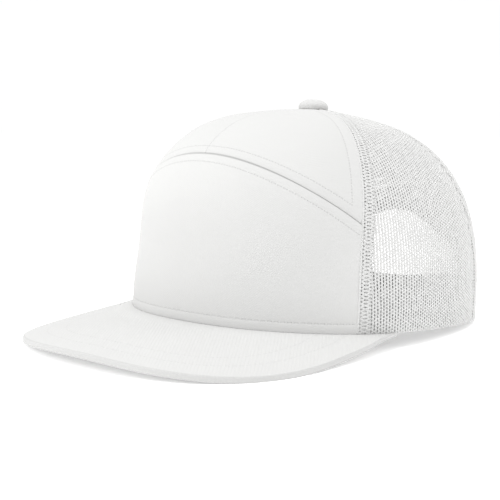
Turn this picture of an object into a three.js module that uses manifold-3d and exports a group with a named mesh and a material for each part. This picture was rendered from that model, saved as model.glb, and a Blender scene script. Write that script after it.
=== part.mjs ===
// A flat-visor trucker cap of seven panels: one lower front panel with an arched top, two upper
// front panels, four net panels, a visor, a covered button, a sweatband, a bound back opening and
// the strap across it.
// Millimetres, +Z up. The wearer's front looks towards -Y and the wearer's left side is +X.
// The cap lies as it does on a table: on the visor's two front corners and the rear of its rim, at z = 0.
// The origin is on the table, under the middle of the cap's length and width.

import * as THREE from 'three';
import { mergeVertices } from 'three/addons/utils/BufferGeometryUtils.js';
import Module from 'manifold-3d';

const wasm = await Module();
wasm.setup();

// Crown, measured on its outer face with the rim as its base
const HALF_WIDTH = 86;
const FRONT_REACH = 94.5;
const BACK_REACH = 101.5;
const CROWN_HEIGHT = 109;
const TOP_BEHIND = 1.4;
const POLE_HOLE = 5;
const RIM_TILT = 3.97;

// How square the rim is in plan, as superellipse exponents, where 2 is an ellipse
const RIM_SQUARENESS = { front: 2.18, back: 2.54 };

// The wall's profile on each side: how square it is, and how far it leans in as it rises
const PROFILE = {
  front: { squareness: 2.93, lean: -0.117 },
  side: { squareness: 2.7, lean: -0.018 },
  back: { squareness: 2.7, lean: 0.009 },
};

// The front wall is drawn in between the rim and a height, most half way up, and fades out at the sides
const DRAWN_IN = { share: 0.028, height: 76, full: 60, gone: 90 };

// The panels rise to a slight peak round the button
const PEAK = { rise: 2.2, reach: 40 };

// Seams that run from the rim to the button: plan angle from the front, at the rim and at the top
const FRONT_SEAM = { rim: 60, top: 63.5 };
const SIDE_SEAM = { rim: 116, top: 108 };

// The arched seam over the lower front panel: its crest, its fall towards the front seams, and how it falls
const ARCH_CREST = 83.3;
const ARCH_FALL = 30;
const ARCH_BEND = 1.85;

// Cloth and net, and the gap left between pieces
const CLOTH_WALL = 1.6;
const NET_WALL = 1.2;
const GAP = 0.3;
const CLOTH = { colour: '#f4f4f3', roughness: 0.85 };
const NET = { colour: '#f1f1f0', roughness: 0.7 };
const PLASTIC = { colour: '#f2f2f1', roughness: 0.45 };

// Opening at the back, an arch that stands on the rim, and the tape that binds it
const OPENING_HALF_WIDTH = 51;
const OPENING_HEIGHT = 56.5;
const BINDING_WIDTH = 8;
const BINDING_PROUD = 0.4;

// The block that cuts the opening's arch: how far it goes below the rim and through the wall
const ARCH_BLOCK = { below: 10, through: 70, segments: 28 };

// The stretch of wall that the binding is cut from: plan angles and climb
const BINDING_WALL = { from: 138, to: 222, highest: 44, columns: 28, rows: 14 };

// Sweatband: it lies against the wall, and further in behind the strap's sewn ends
const BAND_HEIGHT = 28.5;
const BAND_WALL = 1.5;
const BAND_DEPTH = 2;
const BAND_DEPTH_AT_STRAP = 3.7;
const BAND_STEP = { from: 124, to: 138 };
const BAND_END = 145;

// Strap across the opening
const STRAP_HEIGHT = 14;
const STRAP_LIFT = 1.5;
const STRAP_WALL = 1.3;
const STRAP_DEPTH = 2;
const STRAP_TUCK = 141;

// Visor: outline, droop below the rim's plane, bow across its width, and board with its cloth
const VISOR_HALF_WIDTH = 86.7;
const VISOR_LENGTH = 65.4;
const VISOR_WIDEST = -79.3;
const VISOR_SQUARENESS = 2.49;
const VISOR_DROOP = 8.63;
const VISOR_BOW = 0.00128;
const VISOR_WALL = 2.9;
const VISOR_TIP_WALL = 1.4;
const VISOR_END = 75;
const VISOR_SHOULDER = 0.8;
const VISOR_END_CURVE = 1.8;
const VISOR_TUCK = 3.5;
const VISOR_EASE = { from: -1, to: 12 };
const VISOR_LEAST_REACH = 0.8;
const VISOR_SPAN = 0.995;
const VISOR_SECTIONS = 60;
const VISOR_SHARES = [0, 0.2, 0.4, 0.6, 0.8, 1];
const VISOR_ROUNDING = [30, 60, 90, 120, 150];

// Button: a dome that is widest at a share of its height, and drawn in a little below that
const BUTTON_RADIUS = 8;
const BUTTON_HEIGHT = 5.2;
const BUTTON_WIDEST = 0.2;
const BUTTON_TURN = { from: -25, to: 90 };
const BUTTON_STEPS = 7;
const BUTTON_SEGMENTS = 24;
const SHANK_RADIUS = 3.2;
const SHANK_LENGTH = 3;

// How fast the rows of a panel grow apart in climb from the rim, which spaces them evenly in height
const ROW_GROWTH = 1.5;

// How a place on the crown is found: step for a slope in degrees, halvings of a search, where it starts
const SLOPE_STEP = 0.4;
const TOP_SEARCH = { from: 60, to: 90, halvings: 40 };
const GAP_SEARCH = { to: 6, halvings: 24, passes: 5 };
const MERGE_WITHIN = 1e-4;

const radians = THREE.MathUtils.degToRad;
const signedPower = (value, exponent) => Math.sign(value) * Math.abs(value) ** exponent;
const smooth = (value, from, to) => THREE.MathUtils.smoothstep(value, from, to);

// A value that changes round the crown from its front through its sides to its back
function round(angle, quantity) {
  const towardsFront = Math.cos(radians(angle));
  const share = towardsFront ** 2;
  const end = towardsFront > 0 ? PROFILE.front : PROFILE.back;
  return PROFILE.side[quantity] + (end[quantity] - PROFILE.side[quantity]) * share;
}

// A point of the rim's outer edge at a plan angle from the front, positive towards the wearer's left
function rimPoint(angle) {
  const forward = Math.cos(radians(angle));
  const sideways = Math.sin(radians(angle));
  const front = forward > 0;
  const exponent = 2 / (front ? RIM_SQUARENESS.front : RIM_SQUARENESS.back);
  const reach = front ? FRONT_REACH : BACK_REACH;
  return new THREE.Vector2(
    HALF_WIDTH * signedPower(sideways, exponent),
    -reach * signedPower(forward, exponent),
  );
}

// How much the front wall is drawn in at a height
function drawnIn(angle, height) {
  if (height > DRAWN_IN.height) return 0;
  const fromFront = Math.abs(((angle + 540) % 360) - 180);
  const fade = 1 - smooth(fromFront, DRAWN_IN.full, DRAWN_IN.gone);
  return DRAWN_IN.share * Math.sin(Math.PI * height / DRAWN_IN.height) ** 2 * fade;
}

// A point of the crown's outer face, at a plan angle and a climb of 0 at the rim to 90 at the top
function facePoint(angle, climb) {
  const exponent = 2 / round(angle, 'squareness');
  const rise = Math.sin(radians(climb)) ** exponent;
  const height = CROWN_HEIGHT * rise;
  const lean = 1 - round(angle, 'lean') * rise - drawnIn(angle, height);
  const spread = Math.cos(radians(climb)) ** exponent * lean;
  const rim = rimPoint(angle);
  const x = rim.x * spread;
  const y = (rim.y - TOP_BEHIND) * spread;
  const peak = PEAK.rise * (1 - smooth(Math.hypot(x, y), 0, PEAK.reach));
  return new THREE.Vector3(x, TOP_BEHIND + y, height + peak);
}

// The climb at which the face has a height
function climbAt(angle, height) {
  const rise = THREE.MathUtils.clamp(height / CROWN_HEIGHT, 0, 1);
  return THREE.MathUtils.radToDeg(Math.asin(rise ** (round(angle, 'squareness') / 2)));
}

// The climb at which the face is a distance from the button's axis
function climbNearTop(angle, distance) {
  let low = TOP_SEARCH.from;
  let high = TOP_SEARCH.to;
  for (let step = 0; step < TOP_SEARCH.halvings; step += 1) {
    const middle = (low + high) / 2;
    const point = facePoint(angle, middle);
    if (Math.hypot(point.x, point.y - TOP_BEHIND) > distance) low = middle;
    else high = middle;
  }
  return (low + high) / 2;
}

// The same point moved inwards through the wall by a depth, or outwards where the depth is negative
function wallPoint(angle, climb, depth) {
  const across = facePoint(angle + SLOPE_STEP, climb).sub(facePoint(angle - SLOPE_STEP, climb));
  const above = facePoint(angle, Math.min(climb + SLOPE_STEP, 90));
  const up = above.sub(facePoint(angle, Math.max(climb - SLOPE_STEP, 0)));
  const inwards = up.cross(across).normalize();
  if (climb < 0.01) inwards.setZ(0).normalize();
  return facePoint(angle, climb).addScaledVector(inwards, depth);
}

// A closed solid from vertices and triangles, turned inside out if its faces point in
function solidGeometry(points, triangles) {
  const geometry = new THREE.BufferGeometry();
  const numbers = points.flatMap((point) => point.toArray());
  geometry.setAttribute('position', new THREE.Float32BufferAttribute(numbers, 3));
  let volume = 0;
  for (const [a, b, c] of triangles) {
    volume += points[a].dot(points[b].clone().cross(points[c]));
  }
  const outward = volume > 0 ? triangles : triangles.map(([a, b, c]) => [a, c, b]);
  geometry.setIndex(outward.flat());
  geometry.computeVertexNormals();
  return geometry;
}

// A wall between two faces, each given as rows of points
function wallSolid(outerRows, innerRows) {
  const rows = outerRows.length;
  const columns = outerRows[0].length;
  const points = [...outerRows.flat(), ...innerRows.flat()];
  const outer = (row, column) => row * columns + column;
  const inner = (row, column) => rows * columns + row * columns + column;
  const triangles = [];
  const quad = (a, b, c, d) => triangles.push([a, b, c], [a, c, d]);
  for (let row = 0; row < rows - 1; row += 1) {
    for (let column = 0; column < columns - 1; column += 1) {
      quad(outer(row, column), outer(row, column + 1), outer(row + 1, column + 1), outer(row + 1, column));
      quad(inner(row, column), inner(row + 1, column), inner(row + 1, column + 1), inner(row, column + 1));
    }
    quad(outer(row, 0), outer(row + 1, 0), inner(row + 1, 0), inner(row, 0));
    const last = columns - 1;
    quad(outer(row, last), inner(row, last), inner(row + 1, last), outer(row + 1, last));
  }
  for (let column = 0; column < columns - 1; column += 1) {
    quad(outer(0, column), inner(0, column), inner(0, column + 1), outer(0, column + 1));
    const top = rows - 1;
    quad(outer(top, column), outer(top, column + 1), inner(top, column + 1), inner(top, column));
  }
  return solidGeometry(points, triangles);
}

// A solid swept through sections, each a closed loop of as many points, capped at both ends
function sweptSolid(sections) {
  const size = sections[0].length;
  const points = sections.flat();
  const triangles = [];
  for (let section = 0; section < sections.length - 1; section += 1) {
    for (let corner = 0; corner < size; corner += 1) {
      const next = (corner + 1) % size;
      const a = section * size + corner;
      const b = section * size + next;
      triangles.push([a, b, b + size], [a, b + size, a + size]);
    }
  }
  for (const [start, flip] of [[0, false], [(sections.length - 1) * size, true]]) {
    for (let step = 0; step < size / 2 - 1; step += 1) {
      const low = start + step;
      const high = start + size - 1 - step;
      const cap = [[low, high, low + 1], [high, high - 1, low + 1]];
      for (const [a, b, c] of cap) triangles.push(flip ? [a, c, b] : [a, b, c]);
    }
  }
  return solidGeometry(points, triangles);
}

// A named piece with a material of its own
function piece(name, geometry, { colour, roughness }) {
  const material = new THREE.MeshStandardMaterial({ color: colour, roughness, metalness: 0 });
  const mesh = new THREE.Mesh(geometry, material);
  mesh.name = name;
  return mesh;
}

const seamAngle = (seam, climb) => seam.rim + (seam.top - seam.rim) * (climb / 90);
const archHeight = (angle) => ARCH_CREST - ARCH_FALL * (Math.abs(angle) / FRONT_SEAM.rim) ** ARCH_BEND;

// Half the gap between two panels, as a plan angle, at a place on the crown
function halfGapAngle(angle, climb, side) {
  const seam = facePoint(angle, climb);
  let near = 0;
  let far = GAP_SEARCH.to;
  for (let step = 0; step < GAP_SEARCH.halvings; step += 1) {
    const middle = (near + far) / 2;
    if (facePoint(angle + side * middle, climb).distanceTo(seam) < GAP / 2) near = middle;
    else far = middle;
  }
  return side * far;
}

// A panel between two seams and two edges, each a function of the other coordinate
function panel({ from, to, lowest, highest, columns, rows, thickness, growth = 1 }) {
  const climbIn = (angle, share) => lowest(angle) + (highest(angle) - lowest(angle)) * share ** growth;
  const besideSeam = (seam, side, share) => {
    let angle = seam(0);
    for (let pass = 0; pass < GAP_SEARCH.passes; pass += 1) {
      const climb = climbIn(angle, share);
      angle = seam(climb) + halfGapAngle(seam(climb), climb, side);
    }
    return angle;
  };
  const face = (depth) => {
    const grid = [];
    for (let row = 0; row <= rows; row += 1) {
      const start = besideSeam(from, 1, row / rows);
      const end = besideSeam(to, -1, row / rows);
      const line = [];
      for (let column = 0; column <= columns; column += 1) {
        const angle = start + (end - start) * (column / columns);
        line.push(wallPoint(angle, climbIn(angle, row / rows), depth));
      }
      grid.push(line);
    }
    return grid;
  };
  return wallSolid(face(0), face(thickness));
}

const topEdge = (angle) => climbNearTop(angle, POLE_HOLE);
const rimEdge = () => 0;

// Panels of cloth
function lowerFrontPanel() {
  const geometry = panel({
    from: (climb) => -seamAngle(FRONT_SEAM, climb),
    to: (climb) => seamAngle(FRONT_SEAM, climb),
    lowest: rimEdge,
    growth: ROW_GROWTH,
    highest: (angle) => climbAt(angle, archHeight(angle) - GAP / 2),
    columns: 32,
    rows: 9,
    thickness: CLOTH_WALL,
  });
  return piece('lower_front_panel', geometry, CLOTH);
}

function upperFrontPanel(name, from, to) {
  const geometry = panel({
    from,
    to,
    lowest: (angle) => climbAt(angle, archHeight(angle) + GAP / 2),
    highest: topEdge,
    columns: 14,
    rows: 10,
    thickness: CLOTH_WALL,
  });
  return piece(name, geometry, CLOTH);
}

// Panels of net
function sideMesh(name, side) {
  const near = (climb) => side * seamAngle(FRONT_SEAM, climb);
  const far = (climb) => side * seamAngle(SIDE_SEAM, climb);
  const geometry = panel({
    from: side > 0 ? near : far,
    to: side > 0 ? far : near,
    lowest: rimEdge,
    growth: ROW_GROWTH,
    highest: topEdge,
    columns: 13,
    rows: 15,
    thickness: NET_WALL,
  });
  return piece(name, geometry, NET);
}

// A solid for cutting and joining
function cuttable(geometry) {
  const bare = geometry.clone();
  bare.deleteAttribute('normal');
  bare.deleteAttribute('uv');
  const merged = mergeVertices(bare, MERGE_WITHIN);
  return new wasm.Manifold(new wasm.Mesh({
    numProp: 3,
    vertProperties: Float32Array.from(merged.getAttribute('position').array),
    triVerts: Uint32Array.from(merged.getIndex().array),
  }));
}

function backToGeometry(solid) {
  const mesh = solid.getMesh();
  const geometry = new THREE.BufferGeometry();
  geometry.setAttribute('position', new THREE.BufferAttribute(Float32Array.from(mesh.vertProperties), 3));
  geometry.setIndex(new THREE.BufferAttribute(Uint32Array.from(mesh.triVerts), 1));
  geometry.computeVertexNormals();
  return geometry;
}

// A block with the opening's arch as its outline, grown by a margin, that passes through the back wall
function archBlock(margin, below) {
  const halfWidth = OPENING_HALF_WIDTH + margin;
  const outline = new THREE.Shape();
  outline.moveTo(halfWidth, -below);
  outline.lineTo(halfWidth, 0);
  outline.absellipse(0, 0, halfWidth, OPENING_HEIGHT + margin, 0, Math.PI, false);
  outline.lineTo(-halfWidth, -below);
  outline.closePath();
  const geometry = new THREE.ExtrudeGeometry(outline, {
    depth: ARCH_BLOCK.through,
    bevelEnabled: false,
    curveSegments: ARCH_BLOCK.segments,
  });
  geometry.rotateX(Math.PI / 2);
  geometry.translate(0, BACK_REACH + ARCH_BLOCK.through / 2, 0);
  return cuttable(geometry);
}

function backMesh(name, side) {
  const near = (climb) => side * seamAngle(SIDE_SEAM, climb);
  const centre = () => side * 180;
  const whole = panel({
    from: side > 0 ? near : centre,
    to: side > 0 ? centre : near,
    lowest: rimEdge,
    growth: ROW_GROWTH,
    highest: topEdge,
    columns: 14,
    rows: 15,
    thickness: NET_WALL,
  });
  const solid = cuttable(whole).subtract(archBlock(BINDING_WIDTH + GAP, ARCH_BLOCK.below));
  return piece(name, backToGeometry(solid), NET);
}

// The tape round the opening, a little proud of the net on both faces
function openingBinding() {
  const { from, to, highest, columns, rows } = BINDING_WALL;
  const face = (depth) => {
    const grid = [];
    for (let row = 0; row <= rows; row += 1) {
      const line = [];
      for (let column = 0; column <= columns; column += 1) {
        const angle = from + (to - from) * (column / columns);
        line.push(wallPoint(angle, highest * (row / rows), depth));
      }
      grid.push(line);
    }
    return grid;
  };
  const wall = cuttable(wallSolid(face(-BINDING_PROUD), face(NET_WALL + BINDING_PROUD)));
  const solid = wall.intersect(archBlock(BINDING_WIDTH, 0)).subtract(archBlock(0, ARCH_BLOCK.below));
  return piece('opening_binding', backToGeometry(solid), CLOTH);
}

// A band that follows the inside of the rim between two plan angles
function innerBand({ from, to, columns, rows, low, high, depth, thickness }) {
  const face = (extra) => {
    const grid = [];
    for (let row = 0; row <= rows; row += 1) {
      const height = low + (high - low) * (row / rows);
      const line = [];
      for (let column = 0; column <= columns; column += 1) {
        const angle = from + (to - from) * (column / columns);
        line.push(wallPoint(angle, climbAt(angle, height), depth(angle) + extra));
      }
      grid.push(line);
    }
    return grid;
  };
  return wallSolid(face(0), face(thickness));
}

function sweatband() {
  const geometry = innerBand({
    from: -BAND_END,
    to: BAND_END,
    columns: 72,
    rows: 3,
    low: 0,
    high: BAND_HEIGHT,
    depth: (angle) => {
      const step = smooth(Math.abs(angle), BAND_STEP.from, BAND_STEP.to);
      return BAND_DEPTH + (BAND_DEPTH_AT_STRAP - BAND_DEPTH) * step;
    },
    thickness: BAND_WALL,
  });
  return piece('sweatband', geometry, CLOTH);
}

function backStrap() {
  const geometry = innerBand({
    from: STRAP_TUCK,
    to: 360 - STRAP_TUCK,
    columns: 26,
    rows: 2,
    low: STRAP_LIFT,
    high: STRAP_LIFT + STRAP_HEIGHT,
    depth: () => STRAP_DEPTH,
    thickness: STRAP_WALL,
  });
  return piece('back_strap', geometry, PLASTIC);
}

// The visor's outer edge in plan, from its right end at -1 through the front to its left end at 1
function visorEdge(along) {
  const side = Math.sign(along) || 1;
  const place = Math.abs(along) / VISOR_SHOULDER;
  if (place <= 1) {
    const exponent = 2 / VISOR_SQUARENESS;
    const depth = VISOR_WIDEST + FRONT_REACH + VISOR_LENGTH;
    return new THREE.Vector2(
      side * VISOR_HALF_WIDTH * Math.sin(radians(90 * place)) ** exponent,
      VISOR_WIDEST - depth * Math.cos(radians(90 * place)) ** exponent,
    );
  }
  const end = rimPoint(VISOR_END);
  const turn = radians(90 * (Math.abs(along) - VISOR_SHOULDER) / (1 - VISOR_SHOULDER));
  const exponent = 2 / VISOR_END_CURVE;
  return new THREE.Vector2(
    side * (end.x + (VISOR_HALF_WIDTH - end.x) * Math.cos(turn) ** exponent),
    VISOR_WIDEST + (end.y - VISOR_WIDEST) * Math.sin(turn) ** exponent,
  );
}

// Height of the visor's upper face in the rim's frame, at a place a distance outside the rim
function visorHeight(x, y, distance) {
  const free = Math.tan(radians(VISOR_DROOP)) * (y + FRONT_REACH) - VISOR_BOW * x * x;
  return -GAP + (free + GAP) * smooth(distance, VISOR_EASE.from, VISOR_EASE.to);
}

// One section of the visor: out along the upper face, round the edge and back along the lower face
function visorSection(along) {
  const rim = rimPoint(VISOR_END * along);
  const edge = visorEdge(along);
  const outwards = edge.clone().sub(rim);
  const reach = Math.max(outwards.length(), VISOR_LEAST_REACH);
  const wall = VISOR_WALL + (VISOR_TIP_WALL - VISOR_WALL) * smooth(Math.abs(along), VISOR_SHOULDER, 1);
  const edgeRadius = Math.min(wall / 2, reach / 2);
  const normal = rimPoint(VISOR_END * along + 1).sub(rimPoint(VISOR_END * along - 1)).normalize();
  const direction = new THREE.Vector2(normal.y, -normal.x);
  const tucked = rim.clone().addScaledVector(direction, -VISOR_TUCK);
  const flat = reach - edgeRadius;
  const at = (distance) => rim.clone().addScaledVector(outwards, distance / outwards.length());
  const faceAt = (place, distance, drop) => (
    new THREE.Vector3(place.x, place.y, visorHeight(place.x, place.y, distance) - drop)
  );
  const upper = [tucked, ...VISOR_SHARES.map((share) => at(share * flat))];
  const distances = [-VISOR_TUCK, ...VISOR_SHARES.map((share) => share * flat)];
  const loop = upper.map((place, index) => faceAt(place, distances[index], 0));
  for (const degrees of VISOR_ROUNDING) {
    const place = at(flat + edgeRadius * Math.sin(radians(degrees)));
    const drop = wall / 2 * (1 - Math.cos(radians(degrees)));
    loop.push(faceAt(place, flat, drop));
  }
  for (let index = upper.length - 1; index >= 0; index -= 1) {
    const above = loop[index];
    loop.push(new THREE.Vector3(above.x, above.y, above.z - wall));
  }
  return loop;
}

function visor() {
  const sections = [];
  for (let step = 0; step <= VISOR_SECTIONS; step += 1) {
    sections.push(visorSection(VISOR_SPAN * (2 * step / VISOR_SECTIONS - 1)));
  }
  return piece('visor', sweptSolid(sections), CLOTH);
}

// A dome on a flat underside, with a shank down through the hole where the panels meet
function topButton() {
  const widest = BUTTON_WIDEST * BUTTON_HEIGHT;
  const lowest = Math.sin(radians(BUTTON_TURN.from));
  const profile = [
    new THREE.Vector2(0, -SHANK_LENGTH),
    new THREE.Vector2(SHANK_RADIUS, -SHANK_LENGTH),
    new THREE.Vector2(SHANK_RADIUS, GAP),
  ];
  for (let step = 0; step <= BUTTON_STEPS; step += 1) {
    const share = step / BUTTON_STEPS;
    const turn = radians(BUTTON_TURN.from + (BUTTON_TURN.to - BUTTON_TURN.from) * share);
    const radius = step === BUTTON_STEPS ? 0 : BUTTON_RADIUS * Math.cos(turn);
    const below = widest * (1 - Math.sin(turn) / lowest);
    const above = widest + (BUTTON_HEIGHT - widest) * Math.sin(turn);
    profile.push(new THREE.Vector2(radius, GAP + (turn < 0 ? below : above)));
  }
  const geometry = mergeVertices(bareLathe(profile, BUTTON_SEGMENTS), MERGE_WITHIN);
  geometry.rotateX(Math.PI / 2);
  geometry.computeVertexNormals();
  const mesh = piece('top_button', geometry, CLOTH);
  mesh.position.set(0, TOP_BEHIND, CROWN_HEIGHT + PEAK.rise);
  return mesh;
}

function bareLathe(profile, segments) {
  const geometry = new THREE.LatheGeometry(profile, segments);
  geometry.deleteAttribute('normal');
  geometry.deleteAttribute('uv');
  return geometry;
}

// The rim's frame as it stands on the table: its rear touches at the two ends of the opening
function rimToTable() {
  const tilt = radians(RIM_TILT);
  const share = 1 - (OPENING_HALF_WIDTH / HALF_WIDTH) ** RIM_SQUARENESS.back;
  const footReach = BACK_REACH * share ** (1 / RIM_SQUARENESS.back) + BINDING_PROUD;
  const frame = new THREE.Group();
  frame.rotation.x = -tilt;
  frame.position.set(0, 0, footReach * Math.sin(tilt));
  return frame;
}

const cap = new THREE.Group();
const crown = rimToTable();
crown.add(lowerFrontPanel());
crown.add(upperFrontPanel('upper_front_panel_right', (climb) => -seamAngle(FRONT_SEAM, climb), () => 0));
crown.add(upperFrontPanel('upper_front_panel_left', () => 0, (climb) => seamAngle(FRONT_SEAM, climb)));
crown.add(sideMesh('side_mesh_left', 1));
crown.add(sideMesh('side_mesh_right', -1));
crown.add(backMesh('back_mesh_left', 1));
crown.add(backMesh('back_mesh_right', -1));
crown.add(visor());
crown.add(topButton());
crown.add(sweatband());
crown.add(openingBinding());
crown.add(backStrap());
cap.add(crown);

const middle = new THREE.Box3().setFromObject(cap, true).getCenter(new THREE.Vector3());
crown.position.y -= middle.y;

export default cap;
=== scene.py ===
"""Looks of a flat-visor trucker cap of seven panels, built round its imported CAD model.

Metres and degrees, +Z up. The wearer's front looks towards -Y and the wearer's left side is +X.
"""

import math
from collections import namedtuple
from functools import partial

import bmesh
import bpy
import numpy as np
from mathutils import Matrix, Vector, kdtree


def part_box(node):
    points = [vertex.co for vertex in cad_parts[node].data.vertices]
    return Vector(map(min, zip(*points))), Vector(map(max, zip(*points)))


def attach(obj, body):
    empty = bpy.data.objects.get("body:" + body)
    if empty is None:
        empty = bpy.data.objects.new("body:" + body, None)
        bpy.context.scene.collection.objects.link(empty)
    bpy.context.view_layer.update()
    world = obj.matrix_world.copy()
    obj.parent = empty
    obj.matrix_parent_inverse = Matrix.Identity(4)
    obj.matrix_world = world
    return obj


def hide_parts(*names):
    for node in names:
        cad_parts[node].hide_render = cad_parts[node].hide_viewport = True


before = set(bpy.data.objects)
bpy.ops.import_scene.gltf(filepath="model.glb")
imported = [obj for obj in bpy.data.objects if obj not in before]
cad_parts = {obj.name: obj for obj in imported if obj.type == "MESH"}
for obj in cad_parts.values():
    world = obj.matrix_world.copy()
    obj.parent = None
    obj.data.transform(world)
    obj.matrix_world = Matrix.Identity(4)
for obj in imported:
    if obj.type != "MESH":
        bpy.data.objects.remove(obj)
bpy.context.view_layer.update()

bl_info = {
    "name": "Seven-panel trucker cap",
    "version": (1, 0, 0),
    "blender": (4, 5, 0),
    "location": "3D View > Sidebar > Cap",
    "description": "Builds the cloth, net, visor, stitching and stage of a flat-visor trucker cap",
    "category": "Add Mesh",
}

MM = 0.001
SIDES = (("left", 1), ("right", -1))

# Crown, measured on its outer face with the rim as its base
HALF_WIDTH = 0.086
FRONT_REACH = 0.0945
BACK_REACH = 0.1015
CROWN_HEIGHT = 0.109
TOP_BEHIND = 0.0014
POLE_HOLE = 0.005
RIM_TILT = math.radians(3.97)
RIM_FRONT_SQUARENESS = 2.18
RIM_BACK_SQUARENESS = 2.54

# The wall's profile at the front, the sides and the back: how square it is, and how far it leans in
SQUARENESS = (2.93, 2.7, 2.7)
LEAN = (-0.117, -0.018, 0.009)
DRAWN_IN_SHARE = 0.028
DRAWN_IN_HEIGHT = 0.076
DRAWN_IN_FULL = 60
DRAWN_IN_GONE = 90
PEAK_RISE = 0.0022
PEAK_REACH = 0.04

# How a way up the wall, from 0 to 1, turns into its climb, and how often a search for one is halved
CLIMB_POWER = 1.5
HALVINGS = 40

# Seams from the rim to the button, as plan angles from the front at the rim and at the top
FRONT_SEAM = (60, 63.5)
SIDE_SEAM = (116, 108)
CENTRE_BACK = 180.0
ARCH_CREST = 0.0833
ARCH_FALL = 0.030
ARCH_BEND = 1.85

# Walls, and the gaps between neighbouring pieces
CLOTH_WALL = 0.0016
NET_WALL = 0.0012
GAP = 0.0003
CLOSE_GAP = 0.00006

# The front panels' widths and heights in millimetres, for the steps of their meshes
LOWER_PANEL_MM = (186, 78)
UPPER_PANEL_MM = (88, 70)

# The front panels' edges: the radii of their folds, how far they puff up, and how far one is tucked
ARCH_FOLD = 0.0001
RIM_FOLD = 0.00012
SEAM_FOLD = 0.0003
CENTRE_FOLD = 0.0002
UPPER_ARCH_FOLD = 0.00005
EDGE_PUFF = 0.0002
SIDE_PUFF = 0.0001
ARCH_TUCK = 0.0006
ARCH_TUCK_FADE = (-0.001, 0.0055)

# The cloth's face: the groove along a row of stitches, the slack with its waves in radians for each
# metre across and up, and the least wall that is left
GROOVE_DEPTH = 0.00006
GROOVE_WIDTH = 0.0008
SLACK = 0.00012
SLACK_WAVES = ((95, 60), (-40, 130))
LEAST_WALL = 0.0002

# Where rows, tapes and strips of net end near the button: a plan angle and a distance from its axis
SIDE_ROW_TOP = (62.0, 0.009)
NET_ROW_TOP = (112.0, 0.010)
FOLD_TOP = (63.0, 0.010)
ALLOWANCE_TOP = (63.0, 0.012)
TAPE_TOP = (60.0, 0.007)

# Rows of stitches on the front panels: their ends as plan angles, and shares of the stitch inset
FRONT_ENDS = 62
BELOW_ARCH_END = 59.8
ABOVE_ARCH_END = 57.2
SIDE_ROW_FOOT = 57.0
RIM_ROW_END = 59
RIM_INSET = 0.96
SIDE_INSET = 1.2

# A distance that stands for far from every row, one that no mark beside a row reaches, and the steps
# of finely drawn paths
FAR = 0.05
ROW_REACH = 0.004
FINE_STEP = 0.0001
GUIDE_STEP = 0.0004

# Opening at the back with its tape, and the sweatband, which goes deeper where the strap lies
OPENING_HALF_WIDTH = 0.051
OPENING_HEIGHT = 0.0565
BINDING_WIDTH = 0.008
BINDING_PROUD = 0.0004
BINDING_ROW = 0.0065
BINDING_PUFF = 0.0002
BAND_HEIGHT = 0.0285
BAND_FOOT = 0.0004
BAND_WALL = 0.0015
BAND_DEPTH = 0.002
BAND_DEPTH_AT_STRAP = 0.0037
BAND_STEP = (124, 138)
BAND_END = 145
BAND_RIPPLE = 0.00025
BAND_RIPPLES = 31

# Snap strap: two halves with a row of holes each, their ends beyond the holes, and the studs, which
# fill only the holes where both halves lie on each other
STRAP_HEIGHT = 0.014
STRAP_LIFT = 0.0015
STRAP_WALL = 0.0013
STRAP_DEPTH = 0.002
STRAP_REACH = 0.0585
STRAP_END = 0.010
STRAP_HOLES = 6
STRAP_HOLE = 0.0024
STRAP_PITCH = 0.009
STRAP_STEP = 0.0015
STRAP_BEVEL = 0.0002
STRAP_END_TURN = 82
STUD_RADIUS = 0.0022
STUD_FLATNESS = 0.5
STUD_SUNK = 0.0004
STUDS_FROM = -0.02

# The strap's layers as shares of its wall: how thick each is, and where the second begins
STRAP_LAYER = 0.46
STRAP_SECOND_LAYER = 0.54

# Tapes over the seams inside the crown: their thickness, widths and the depths of their outer faces
TAPE_WALL = 0.0003
FRONT_TAPE_WIDTH = 0.0124
CENTRE_TAPE_WIDTH = 0.012
NET_TAPE_WIDTH = 0.0096
TAPE_UNDER_CLOTH = CLOTH_WALL + 0.00005
TAPE_UNDER_FRONT_NET = 0.0011
TAPE_UNDER_NET = 0.0015
TAPE_FOOT = 0.005
TAPE_UNDER_BINDING = 0.002

# Visor
VISOR_HALF_WIDTH = 0.0867
VISOR_LENGTH = 0.0654
VISOR_WIDEST = -0.0793
VISOR_SQUARENESS = 2.49
VISOR_DROOP = math.radians(8.63)
VISOR_BOW = 1.28
VISOR_WALL = 0.0029
VISOR_TIP_WALL = 0.0014
VISOR_END = 75
VISOR_SHOULDER = 0.8
VISOR_END_CURVE = 1.8
VISOR_TUCK = 0.0035
VISOR_EASE = 0.012
VISOR_MESH_END = 0.997
VISOR_LIFT = 0.00028
VISOR_LIFT_WIDTH = 0.003
VISOR_EDGE_ROUNDNESS = 0.45
VISOR_LEAST_REACH = 0.0008
VISOR_ROW_CLEARANCE = 0.003

# Net: the depth of its face, where it goes under the front panels, and the creases that the
# topstitching draws into it behind the front seams and beside the others
NET_DEPTH = 0.0003
NET_TUCK = 0.0025
NET_TUCK_DEPTH = 0.0016
NET_TUCK_FADE = (-0.0008, 0.0012)
NET_CREASE = 0.0064
NET_CREASE_DEPTH = 0.00015
NET_CREASE_WIDTH = 0.0008
NET_SEAM_CREASE = 0.0028
NET_SEAM_CREASE_DEPTH = 0.0003
NET_SEAM_CREASE_WIDTH = 0.0006
NET_SEAM_DEPTH = 0.0007
NET_SEAM_REACH = 0.0018
NET_CUT_BACK = 0.003

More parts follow.
